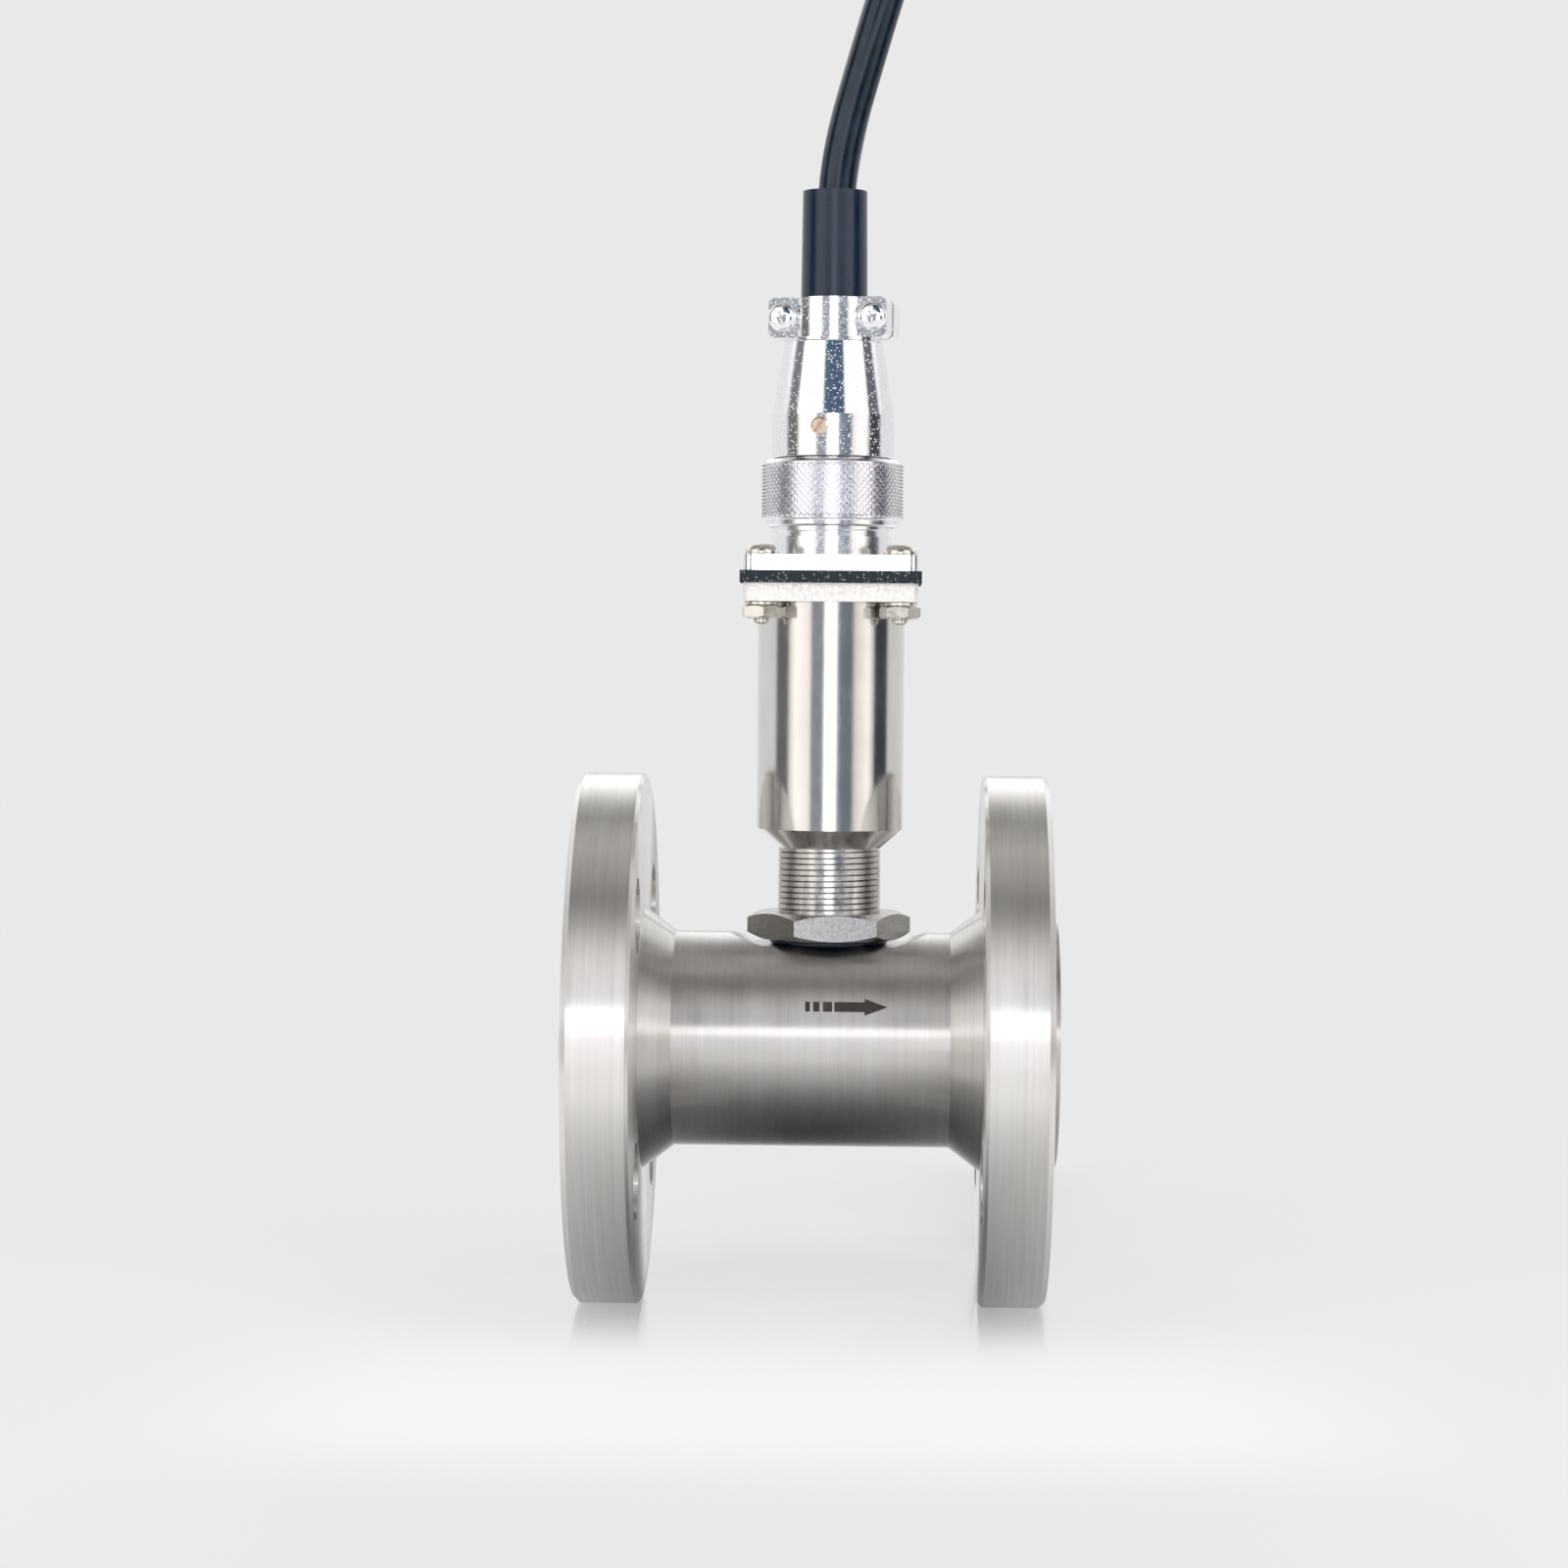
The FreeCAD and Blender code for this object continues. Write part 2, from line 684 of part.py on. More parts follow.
def make_pickup():
    """Soft iron pole, coil on its bobbin, magnet, board and the two coil leads."""
    pole = doc.addObject("Part::Cylinder", "pole_piece")
    pole.Label = "pole_piece"
    pole.setExpression("Radius", "sizes.pole_diameter / 2")
    pole.setExpression("Height", "sizes.pole_length")
    place(pole, along="sizes.sensor_offset", up=above("sensor_housing", "sizes.tip_wall"))
    nodes.append(pole)

    bobbin = new_body("coil_bobbin")
    place(bobbin, along="sizes.sensor_offset", up=above("sensor_housing", "sizes.tip_wall"))
    flange = "sizes.coil_bore_diameter / 2 - sizes.bobbin_gap"
    bore = "sizes.pole_diameter / 2"
    core = "sizes.bobbin_core_diameter / 2"
    lower = "sizes.bobbin_flange_thickness"
    upper = "sizes.bobbin_length - sizes.bobbin_flange_thickness"
    revolve(bobbin, corners=[
        (bore, "0"),
        (flange, "0"),
        (flange, lower),
        (core, lower),
        (core, upper),
        (flange, upper),
        (flange, "sizes.bobbin_length"),
        (bore, "sizes.bobbin_length"),
    ])

    winding = new_body("coil_winding")
    place(winding, along="sizes.sensor_offset", up=above("coil_bobbin", lower))
    sketch = new_sketch(winding, "ring")
    add_circle(sketch, "sizes.coil_diameter")
    add_circle(sketch, "sizes.bobbin_core_diameter")
    pad(winding, sketch, "sizes.bobbin_length - 2 * sizes.bobbin_flange_thickness")

    magnet = doc.addObject("Part::Cylinder", "pickup_magnet")
    magnet.Label = "pickup_magnet"
    magnet.setExpression("Radius", "sizes.magnet_diameter / 2")
    magnet.setExpression("Height", "sizes.magnet_length")
    place(magnet, along="sizes.sensor_offset", up=above("pole_piece", "sizes.pole_length"))
    nodes.append(magnet)


def make_board():
    """A round board soldered on the socket's pins, and the two leads up to it from the coil."""
    board = new_body("circuit_board")
    drop = "sizes.board_drop + sizes.board_thickness"
    place(
        board,
        along="sizes.sensor_offset",
        up=above("socket_insert", f"-({drop})"),
        turn="-sizes.plug_turn",
    )
    sketch = new_sketch(board, "disc")
    add_circle(sketch, "sizes.board_diameter")
    pad(board, sketch, "sizes.board_thickness")
    sketch = new_sketch(board, "hole_circle")
    add_circle(sketch, "sizes.pin_diameter", "sizes.pin_circle_diameter / 2")
    hole = pocket(board, sketch, "sizes.board_thickness", "pin_hole", upwards=True)
    repeat_around(board, [hole], "sizes.pin_count", "pin_holes")

    leads = new_body("coil_leads")
    place(leads, along="sizes.sensor_offset", up=above("coil_bobbin", "sizes.bobbin_length"))
    sketch = new_sketch(leads, "lead_circle")
    add_circle(sketch, "sizes.coil_lead_diameter", "sizes.coil_lead_spread / 2")
    bobbin_top = "<<coil_bobbin>>.Placement.Base.z + sizes.bobbin_length * 1 mm"
    lead = pad(leads, sketch, f"<<circuit_board>>.Placement.Base.z - ({bobbin_top})")
    repeat_around(leads, [lead], "2", "pair")


# Square joint

def make_square_plate(label, up, side, height, hole):
    """A square plate with rounded corners, a round hole and a screw hole near each corner."""
    body = new_body(label)
    place(body, along="sizes.sensor_offset", up=up)
    sketch = new_sketch(body, "square")
    half = f"{side} / 2"
    add_rectangle(sketch, f"-{half}", half, f"-{half}", half)
    if hole:
        add_circle(sketch, hole)
    pad(body, sketch, height)
    round_corners(body, "sizes.plate_corner_radius")
    add_screw_holes(body, height)
    return body


def add_screw_holes(body, height):
    sketch = new_sketch(body, "screw_hole_circle")
    reach = "sizes.screw_spacing / 2"
    add_circle(sketch, "sizes.screw_diameter + 2 * sizes.screw_clearance", reach, reach)
    hole = pocket(body, sketch, height, "screw_hole", upwards=True)
    repeat_around(body, [hole], "sizes.screw_count", "screw_holes")


def make_plate_fasteners():
    """Four screws from the socket's flange down through the joint, with washers and nuts below."""
    reach = "sizes.screw_spacing / 2"
    stack = "sizes.socket_flange_height + sizes.gasket_height + sizes.plate_height"
    shank = f"({stack} + sizes.washer_height + sizes.screw_nut_height + sizes.screw_end)"
    radius = "sizes.screw_diameter / 2"
    head = "sizes.screw_head_diameter / 2"
    side = "sizes.screw_head_height - sizes.screw_head_crown"

    screws = new_body("plate_screws")
    place(
        screws,
        along="sizes.sensor_offset",
        up=above("socket_shell", "sizes.socket_flange_height"),
    )
    screw = revolve(screws, name="screw", across=reach, lift=reach, corners=[
        ("0", f"-{shank}"),
        (radius, f"-{shank}"),
        (radius, "0"),
        (head, "0"),
        (head, side),
        (f"{head} - sizes.screw_head_crown", "sizes.screw_head_height"),
        ("0", "sizes.screw_head_height"),
    ])
    repeat_around(screws, [screw], "sizes.screw_count")

    washers = new_body("lock_washers")
    place(
        washers,
        along="sizes.sensor_offset",
        up=above("mounting_plate", "-sizes.washer_height"),
    )
    sketch = new_sketch(washers, "ring")
    add_circle(sketch, "sizes.washer_diameter", reach, reach)
    add_circle(sketch, "sizes.screw_diameter", reach, reach)
    washer = pad(washers, sketch, "sizes.washer_height")
    repeat_around(washers, [washer], "sizes.screw_count")

    nuts = new_body("plate_nuts")
    place(
        nuts,
        along="sizes.sensor_offset",
        up=above("lock_washers", "-sizes.screw_nut_height"),
    )
    sketch = new_sketch(nuts, "hexagon")
    add_hexagon(sketch, "sizes.screw_nut_across_flats", reach, reach)
    add_circle(sketch, "sizes.screw_diameter", reach, reach)
    nut = pad(nuts, sketch, "sizes.screw_nut_height")
    repeat_around(nuts, [nut], "sizes.screw_count")


# Socket

def make_socket_shell():
    """Square flange with a skirt below, and a collar and threaded neck above."""
    body = make_square_plate(
        "socket_shell",
        above("flange_gasket", "sizes.gasket_height"),
        "sizes.plate_side",
        "sizes.socket_flange_height",
        None,
    )
    collar = "sizes.neck_diameter / 2"
    root = "sizes.neck_thread_root / 2"
    collar_top = "sizes.socket_flange_height + sizes.neck_collar_height"
    top = "sizes.socket_flange_height + sizes.neck_height"
    skirt = "sizes.skirt_diameter / 2"
    ledge = "sizes.socket_flange_height + sizes.insert_ledge"
    revolve(body, name="neck", corners=[
        ("0", "-sizes.skirt_length"),
        (skirt, "-sizes.skirt_length"),
        (skirt, "0"),
        (collar, "0"),
        (collar, collar_top),
        (root, collar_top),
        (root, top),
        ("0", top),
    ])
    insert = "sizes.insert_diameter / 2"
    bore = "sizes.socket_bore_diameter / 2"
    groove(body, name="bores", corners=[
        ("0", "-sizes.skirt_length"),
        (insert, "-sizes.skirt_length"),
        (insert, ledge),
        (bore, ledge),
        (bore, top),
        ("0", top),
    ])


def make_socket_insert():
    """The insulator; its rim rests on the shell's ledge and its origin is at its lower face."""
    body = new_body("socket_insert")
    ledge = "sizes.socket_flange_height + sizes.insert_ledge"
    place(
        body,
        along="sizes.sensor_offset",
        up=above("socket_shell", f"{ledge} - sizes.insert_length"),
        turn="-sizes.plug_turn",
    )
    stem = "sizes.insert_diameter / 2 - sizes.guide_fit"
    rim = "sizes.socket_bore_diameter / 2 - sizes.guide_fit"
    top = "sizes.insert_length + sizes.insert_rim_height"
    revolve(body, corners=[
        ("0", "0"),
        (stem, "0"),
        (stem, "sizes.insert_length"),
        (rim, "sizes.insert_length"),
        (rim, top),
        ("0", top),
    ])
    sketch = new_sketch(body, "pin_hole_circle")
    add_circle(sketch, "sizes.pin_diameter", "sizes.pin_circle_diameter / 2")
    hole = pocket(body, sketch, top, "pin_hole", upwards=True)
    repeat_around(body, [hole], "sizes.pin_count", "pin_holes")


def make_socket_pins():
    body = new_body("socket_pins")
    tail = "(sizes.board_drop + sizes.board_thickness)"
    place(
        body,
        along="sizes.sensor_offset",
        up=above("socket_insert", f"-{tail}"),
        turn="-sizes.plug_turn",
    )
    sketch = new_sketch(body, "pin_circle")
    add_circle(sketch, "sizes.pin_diameter", "sizes.pin_circle_diameter / 2")
    length = f"{tail} + sizes.insert_length + sizes.insert_rim_height + sizes.pin_reach"
    pin = pad(body, sketch, length)
    repeat_around(body, [pin], "sizes.pin_count")


# Plug

def place_on_plug(piece, rise):
    """Pieces of the plug stand on the plug shell's shoulder and share its turn about Z."""
    place(
        piece,
        along="sizes.sensor_offset",
        up=above("plug_shell", rise),
        turn="-sizes.plug_turn",
    )


def make_plug_shell():
    """Barrel, shoulder and rear stem; its origin is at the shoulder's underside."""
    body = new_body("plug_shell")
    place(
        body,
        along="sizes.sensor_offset",
        up=above("socket_shell", "sizes.socket_flange_height + sizes.neck_height"),
        turn="-sizes.plug_turn",
    )
    bore = "sizes.barrel_bore_diameter / 2"
    barrel = "sizes.barrel_diameter / 2"
    shoulder = "sizes.shoulder_diameter / 2"
    rear = "sizes.plug_rear_diameter / 2"
    snap_low = "(sizes.shoulder_height + sizes.ring_play + sizes.ring_lip_height + sizes.ring_play)"
    snap_high = f"({snap_low} + sizes.snap_ring_thickness)"
    top = "sizes.shoulder_height + sizes.plug_rear_length"
    revolve(body, corners=[
        (bore, "-sizes.barrel_length"),
        (barrel, "-sizes.barrel_length"),
        (barrel, "0"),
        (shoulder, "0"),
        (shoulder, "sizes.shoulder_height"),
        (rear, "sizes.shoulder_height"),
        (rear, snap_low),
        (f"{rear} - sizes.snap_groove_depth", snap_low),
        (f"{rear} - sizes.snap_groove_depth", snap_high),
        (rear, snap_high),
        (rear, top),
        (bore, top),
    ])
    ring = new_body("snap_ring")
    place_on_plug(ring, snap_low)
    inside = f"{rear} - sizes.snap_groove_depth"
    revolve(ring, wrap="sizes.snap_ring_wrap", corners=[
        (inside, "0"),
        ("sizes.snap_ring_diameter / 2", "0"),
        ("sizes.snap_ring_diameter / 2", "sizes.snap_ring_thickness"),
        (inside, "sizes.snap_ring_thickness"),
    ])


def make_coupling_ring():
    """Knurled ring with a plain lower collar; its inner lip turns above the plug's shoulder."""
    body = new_body("coupling_ring")
    place_on_plug(body, "sizes.shoulder_height + sizes.ring_play - sizes.ring_skirt")
    bore = "sizes.ring_bore_diameter / 2"
    lip = "sizes.plug_rear_diameter / 2 + sizes.ring_lip_clearance"
    recess = "sizes.snap_ring_diameter / 2 + sizes.ring_lip_clearance"
    collar = "sizes.ring_collar_diameter / 2"
    outside = "sizes.ring_diameter / 2"
    lip_top = "sizes.ring_skirt + sizes.ring_lip_height"
    top = f"{lip_top} + sizes.ring_recess"
    bevel = "sizes.ring_collar_bevel"
    revolve(body, corners=[
        (bore, "0"),
        (f"{collar} - {bevel}", "0"),
        (collar, bevel),
        (collar, "sizes.ring_collar_height"),
        (outside, f"sizes.ring_collar_height + {bevel}"),
        (outside, f"{top} - {bevel}"),
        (f"{outside} - {bevel}", top),
        (recess, top),
        (recess, lip_top),
        (lip, lip_top),
        (lip, "sizes.ring_skirt"),
        (bore, "sizes.ring_skirt"),
    ])


def make_plug_insert():
    """The plug's insulator with the four contacts that slide over the socket's pins."""
    insert = new_body("plug_insert")
    socket_face = "sizes.insert_ledge + sizes.insert_rim_height - sizes.neck_height"
    place_on_plug(insert, f"{socket_face} + sizes.plug_insert_gap")
    sketch = new_sketch(insert, "disc")
    add_circle(sketch, "sizes.barrel_bore_diameter")
    pad(insert, sketch, "sizes.plug_insert_length")
    sketch = new_sketch(insert, "contact_hole_circle")
    add_circle(sketch, "sizes.contact_diameter", "sizes.pin_circle_diameter / 2")
    hole = pocket(insert, sketch, "sizes.plug_insert_length", "contact_hole", upwards=True)
    repeat_around(insert, [hole], "sizes.pin_count", "contact_holes")

    contacts = new_body("plug_contacts")
    place_on_plug(contacts, f"{socket_face} + sizes.plug_insert_gap")
    sketch = new_sketch(contacts, "contact_circle")
    add_circle(sketch, "sizes.contact_diameter", "sizes.pin_circle_diameter / 2")
    contact = pad(contacts, sketch, "sizes.plug_insert_length + sizes.contact_tail", "contact")
    sketch = new_sketch(contacts, "contact_bore_circle")
    bore = "sizes.contact_diameter - 2 * sizes.contact_wall"
    add_circle(sketch, bore, "sizes.pin_circle_diameter / 2")
    bore_cut = pocket(contacts, sketch, "sizes.contact_depth", "contact_bore", upwards=True)
    repeat_around(contacts, [contact, bore_cut], "sizes.pin_count")


def make_backshell():
    """Straight below and tapered above, with a radial hole for its set screw at the front."""
    body = new_body("backshell")
    ring_top = "(sizes.ring_lip_height + sizes.ring_recess + sizes.ring_play + sizes.shoulder_height)"
    start = f"({ring_top} + sizes.backshell_gap)"
    place_on_plug(body, start)
    outside = "sizes.backshell_diameter / 2"
    end = "sizes.backshell_end_diameter / 2"
    rear = "sizes.plug_rear_diameter / 2 + sizes.thread_clearance"
    ledge = f"sizes.shoulder_height + sizes.plug_rear_length - {start}"
    bore = "sizes.barrel_bore_diameter / 2"
    end_bore = "sizes.backshell_bore_end / 2"
    edge = "sizes.backshell_edge"
    revolve(body, corners=[
        (rear, "0"),
        (f"{outside} - {edge}", "0"),
        (outside, edge),
        (outside, "sizes.backshell_straight"),
        (end, f"sizes.backshell_length - {edge}"),
        (f"{end} - {edge}", "sizes.backshell_length"),
        (end_bore, "sizes.backshell_length"),
        (bore, "sizes.backshell_straight"),
        (bore, ledge),
        (rear, ledge),
    ])
    sketch = new_sketch(body, "set_screw_circle", "XZ_Plane", lift="sizes.plug_rear_diameter / 2")
    add_circle(sketch, "sizes.set_screw_diameter", "0", "sizes.set_screw_height")
    wall = "(sizes.backshell_diameter - sizes.plug_rear_diameter) / 2"
    body.Tip = pocket(body, sketch, wall, "set_screw_hole", upwards=True)

    screw = new_body("set_screw")
    place_on_plug(screw, start)
    sketch = new_sketch(screw, "circle", "XZ_Plane", lift="sizes.plug_rear_diameter / 2")
    add_circle(sketch, "sizes.set_screw_diameter", "0", "sizes.set_screw_height")
    length = f"{wall} + sizes.set_screw_proud"
    pad(screw, sketch, length, "stem")
    front = "sizes.backshell_diameter / 2 + sizes.set_screw_proud"
    sketch = new_sketch(screw, "slot", "XZ_Plane", lift=front)
    slant = "sizes.set_screw_slot_turn * 1 deg"
    corners = []
    for along, aside in ((-1, -1), (1, -1), (1, 1), (-1, 1)):
        run = f"({along} * sizes.set_screw_diameter)"
        step = f"({aside} * sizes.set_screw_slot / 2)"
        corners.append((
            f"{run} * cos({slant}) - {step} * sin({slant})",
            f"sizes.set_screw_height + {run} * sin({slant}) + {step} * cos({slant})",
        ))
    add_outline(sketch, corners)
    screw.Tip = pocket(screw, sketch, "sizes.set_screw_slot_depth", "slot_cut")


# Cable clamp and boot

def part_box(name, width, depth, height, left, front, bottom="0"):
    box = doc.addObject("Part::Box", name)
    box.setExpression("Length", width)
    box.setExpression("Width", depth)
    box.setExpression("Height", height)
    box.setExpression("Placement.Base.x", left)
    box.setExpression("Placement.Base.y", front)
    box.setExpression("Placement.Base.z", bottom)
    return box


def part_cylinder(name, radius, height, bottom="0"):
    cylinder = doc.addObject("Part::Cylinder", name)
    cylinder.setExpression("Radius", radius)
    cylinder.setExpression("Height", height)
    cylinder.setExpression("Placement.Base.z", bottom)
    return cylinder


def combine(kind, name, base, tool):
    result = doc.addObject(f"Part::{kind}", name)
    result.Base = base
    result.Tool = tool
    return result


def clamp_half(name, side):
    """One saddle: two flat ears and a rounded middle, cut by the boot's channel and the screws."""
    height = "sizes.clamp_height"
    ears = part_box(
        f"{name}_ears",
        "sizes.clamp_width",
        "2 * sizes.clamp_ear_depth",
        height,
        "-sizes.clamp_width / 2",
        "-sizes.clamp_ear_depth",
    )
    rounded = doc.addObject("Part::Fillet", f"{name}_rounded_ears")
    rounded.Base = ears
    doc.recompute()
    corners = []
    for number, edge in enumerate(ears.Shape.Edges, start=1):
        if edge.BoundBox.YLength > SIZES["clamp_ear_depth"]:
            corners.append((number, SIZES["clamp_corner_radius"], SIZES["clamp_corner_radius"]))
    rounded.Edges = corners
    bulge = part_cylinder(f"{name}_bulge", "sizes.clamp_bulge_diameter / 2", height)
    whole = combine("Fuse", f"{name}_whole", rounded, bulge)
    front = "sizes.clamp_split / 2" if side > 0 else "-sizes.clamp_bulge_diameter"
    side_box = part_box(
        f"{name}_side",
        "2 * sizes.clamp_width",
        "sizes.clamp_bulge_diameter - sizes.clamp_split / 2",
        height,
        "-sizes.clamp_width",
        front,
    )
    half = combine("Common", f"{name}_half", whole, side_box)
    channel = part_cylinder(f"{name}_channel", "sizes.boot_diameter / 2", height)
    for number, hand in enumerate((-1, 1)):
        hole = part_cylinder(
            f"{name}_screw_hole_{number}",
            "sizes.clamp_screw_diameter / 2",
            "3 * sizes.clamp_ear_depth",
            "sizes.clamp_height / 2",
        )
        hole.Placement.Rotation = Rotation(Vector(1, 0, 0), 90)
        hole.setExpression("Placement.Base.x", f"{hand} * sizes.clamp_screw_spacing / 2")
        hole.setExpression("Placement.Base.y", "1.5 * sizes.clamp_ear_depth")
        half = combine("Cut", f"{name}_drilled_{number}", half, hole)
    return half, channel


def make_cable_clamp():
    neck_height = "sizes.clamp_neck_height"
    saddle, channel = clamp_half("clamp_saddle", -1)
    saddle = combine("Cut", "clamp_saddle", saddle, channel)
    saddle.Label = "clamp_saddle"
    place_on_backshell(saddle, f"sizes.backshell_length + {neck_height}")
    nodes.append(saddle)

    rear, channel = clamp_half("clamp_rear", 1)
    neck = part_cylinder(
        "clamp_neck",
        "sizes.clamp_neck_diameter / 2",
        neck_height,
        f"-{neck_height}",
    )
    neck_bore = part_cylinder(
        "clamp_neck_bore",
        "sizes.boot_diameter / 2",
        neck_height,
        f"-{neck_height}",
    )
    rear = combine("Cut", "clamp_rear_cut", rear, channel)
    neck = combine("Cut", "clamp_neck_cut", neck, neck_bore)
    clamp = combine("Fuse", "cable_clamp", rear, neck)
    clamp.Label = "cable_clamp"
    place_on_backshell(clamp, f"sizes.backshell_length + {neck_height}")
    nodes.append(clamp)

    screws = new_body("clamp_screws")
    place_on_backshell(screws, f"sizes.backshell_length + {neck_height}")
    front = "sizes.clamp_ear_depth"
    level = "sizes.clamp_height / 2"
    reach = "sizes.clamp_screw_spacing / 2"
    sketch = new_sketch(screws, "head_circles", "XZ_Plane", lift=front)
    add_circle(sketch, "sizes.clamp_screw_head", reach, level)
    add_circle(sketch, "sizes.clamp_screw_head", f"-{reach}", level)
    pad(screws, sketch, "sizes.clamp_screw_head_height", "heads")
    sketch = new_sketch(screws, "shank_circles", "XZ_Plane", lift=front)
    add_circle(sketch, "sizes.clamp_screw_diameter", reach, level)
    add_circle(sketch, "sizes.clamp_screw_diameter", f"-{reach}", level)
    pad(screws, sketch, "2 * sizes.clamp_ear_depth", "shanks", reverse=True)


def place_on_backshell(piece, rise):
    """Pieces above the backshell share the plug's axis and turn."""
    place(
        piece,
        along="sizes.sensor_offset",
        up=above("backshell", rise),
        turn="-sizes.plug_turn",
    )


def make_cable_boot():
    """Rubber sleeve, held by the clamp, that the cable leaves at its top."""
    body = new_body("cable_boot")
    place_on_backshell(body, "sizes.backshell_length - sizes.boot_inside")
    bore = "sizes.cable_diameter / 2 + sizes.boot_fit"
    clamp_top = "sizes.boot_inside + sizes.clamp_neck_height + sizes.clamp_height"
    top = f"{clamp_top} + sizes.boot_above"
    revolve(body, corners=[
        (bore, "0"),
        ("sizes.boot_diameter / 2", "0"),
        ("sizes.boot_diameter / 2", clamp_top),
        ("sizes.boot_top_diameter / 2", top),
        (bore, top),
    ])


# Signal cable

def rounded_path(points):
    """Straight runs joined by tangent arcs, each as large as its two runs allow."""
    spots = [Vector(*point) for point in points]
    edges = []
    here = spots[0]
    for before, corner, after in zip(spots, spots[1:], spots[2:]):
        back = before - corner
        ahead = after - corner
        reach = 0.45 * min(back.Length, ahead.Length)
        back.normalize()
        ahead.normalize()
        half_turn = (math.pi - back.getAngle(ahead)) / 2
        radius = reach / math.tan(half_turn)
        start = corner + back * reach
        finish = corner + ahead * reach
        bisector = back + ahead
        bisector.normalize()
        middle = corner + bisector * (radius / math.cos(half_turn) - radius)
        edges.append(Part.LineSegment(here, start).toShape())
        edges.append(Part.Arc(start, middle, finish).toShape())
        here = finish
        print(f"cable bend at {tuple(corner)}: radius {radius:.1f} mm")
    edges.append(Part.LineSegment(here, spots[-1]).toShape())
    return Part.Wire(edges)


def make_cable():
    radius = sheet.cable_diameter / 2
    path = rounded_path(CABLE_ROUTE)
    start = Vector(*CABLE_ROUTE[0])
    direction = Vector(*CABLE_ROUTE[1]) - start
    ring = Part.Wire(Part.Circle(start, direction, radius).toShape())
    tube = path.makePipeShell([ring], True, False)
    expected = math.pi * radius ** 2 * path.Length
    print(f"cable tube: {path.Length:.1f} mm long, volume {tube.Volume / expected:.4f} of section x length")
    cable = doc.addObject("Part::Feature", "cable")
    cable.Label = "cable"
    cable.Shape = tube
    nodes.append(cable)


def make_hank():
    """The stored length: two upright loops, one cable beside the other, held by a tie between them."""
    outer = "sizes.hank_loop_radius + sizes.cable_diameter / 2"
    inner = "sizes.hank_loop_radius - sizes.cable_diameter / 2"
    span = f"(sizes.hank_length - 2 * ({outer}))"
    width = "2 * sizes.cable_diameter"
    bar = part_box(
        "hank_bar", width, span, "2 * sizes.cable_diameter", "0", "0", "-sizes.cable_diameter",
    )
    shape = bar
    for number, along in enumerate(("0", span)):
        disc = part_cylinder(f"hank_loop_{number}", outer, width)
        disc.Placement.Rotation = Rotation(Vector(0, 1, 0), 90)
        disc.setExpression("Placement.Base.y", along)
        shape = combine("Fuse", f"hank_with_loop_{number}", shape, disc)
    for number, along in enumerate(("0", span)):
        eye = part_cylinder(f"hank_eye_{number}", inner, width)
        eye.Placement.Rotation = Rotation(Vector(0, 1, 0), 90)
        eye.setExpression("Placement.Base.y", along)
        if number == 1:
            shape = combine("Cut", "cable_hank", shape, eye)
        else:
            shape = combine("Cut", "hank_open_once", shape, eye)
    shape.Label = "cable_hank"
    place_at_hank(shape)
    nodes.append(shape)

    tie = new_body("hank_tie")
    place_at_hank(tie)
    sketch = new_sketch(tie, "band", "XZ_Plane", lift=f"-{span} / 2 - sizes.tie_length / 2")
    add_rectangle(
        sketch,
        "-sizes.tie_thickness",
        f"{width} + sizes.tie_thickness",
        "-sizes.cable_diameter - sizes.tie_thickness",
        "sizes.cable_diameter + sizes.tie_thickness",
    )
    add_rectangle(sketch, "0", width, "-sizes.cable_diameter", "sizes.cable_diameter")
    pad(tie, sketch, "sizes.tie_length")


def place_at_hank(piece):
    """Its own Y axis points away from the meter, behind the outlet flange."""
    loop = "sizes.hank_loop_radius + sizes.cable_diameter / 2"
    piece.setExpression("Placement.Base.x", "sizes.hank_side - sizes.cable_diameter")
    piece.setExpression("Placement.Base.y", f"sizes.hank_near_end + {loop}")
    piece.setExpression("Placement.Base.z", f"-sizes.flange_diameter / 2 + {loop}")
    piece.setExpression("Placement.Rotation.Angle", "sizes.hank_turn")


def make_lead_ends():
    """Three insulated cores that come out of the cable's free end, on the floor beside the hank."""
    leads = new_body("lead_ends")
    place_at_hank(leads)
    level = "-sizes.hank_loop_radius"
    sketch = new_sketch(leads, "core_circles", "XZ_Plane")
    for number in range(3):
        turn = f"{90 + 120 * number} deg"
        ring = "sizes.lead_diameter * 0.6"
        add_circle(
            sketch,
            "sizes.lead_diameter",
            f"1.5 * sizes.cable_diameter + {ring} * cos({turn})",
            f"{level} + {ring} * sin({turn})",
        )
    pad(leads, sketch, "sizes.lead_length")


make_meter_body()
make_flange("inlet_flange", -1)
make_flange("outlet_flange", 1)
INLET_VANES = f"(sizes.retainer_position + {ROTOR_INLET_END})"
OUTLET_VANES = f"(sizes.retainer_position - {ROTOR_OUTLET_END})"
for prefix, side, inner_end, vane_length in (
    ("inlet", -1, ROTOR_INLET_END, INLET_VANES),
    ("outlet", 1, ROTOR_OUTLET_END, OUTLET_VANES),
):
    make_guide(f"{prefix}_guide", side, inner_end, vane_length)
    make_bearing(f"{prefix}_bearing", side, inner_end)
    make_thrust_pad(f"{prefix}_thrust_pad", side, inner_end)
    make_retaining_ring(f"{prefix}_retaining_ring", side)
make_rotor()
make_rotor_shaft()

make_sensor_housing()
make_seal_ring()
make_lock_nut()
make_pickup()

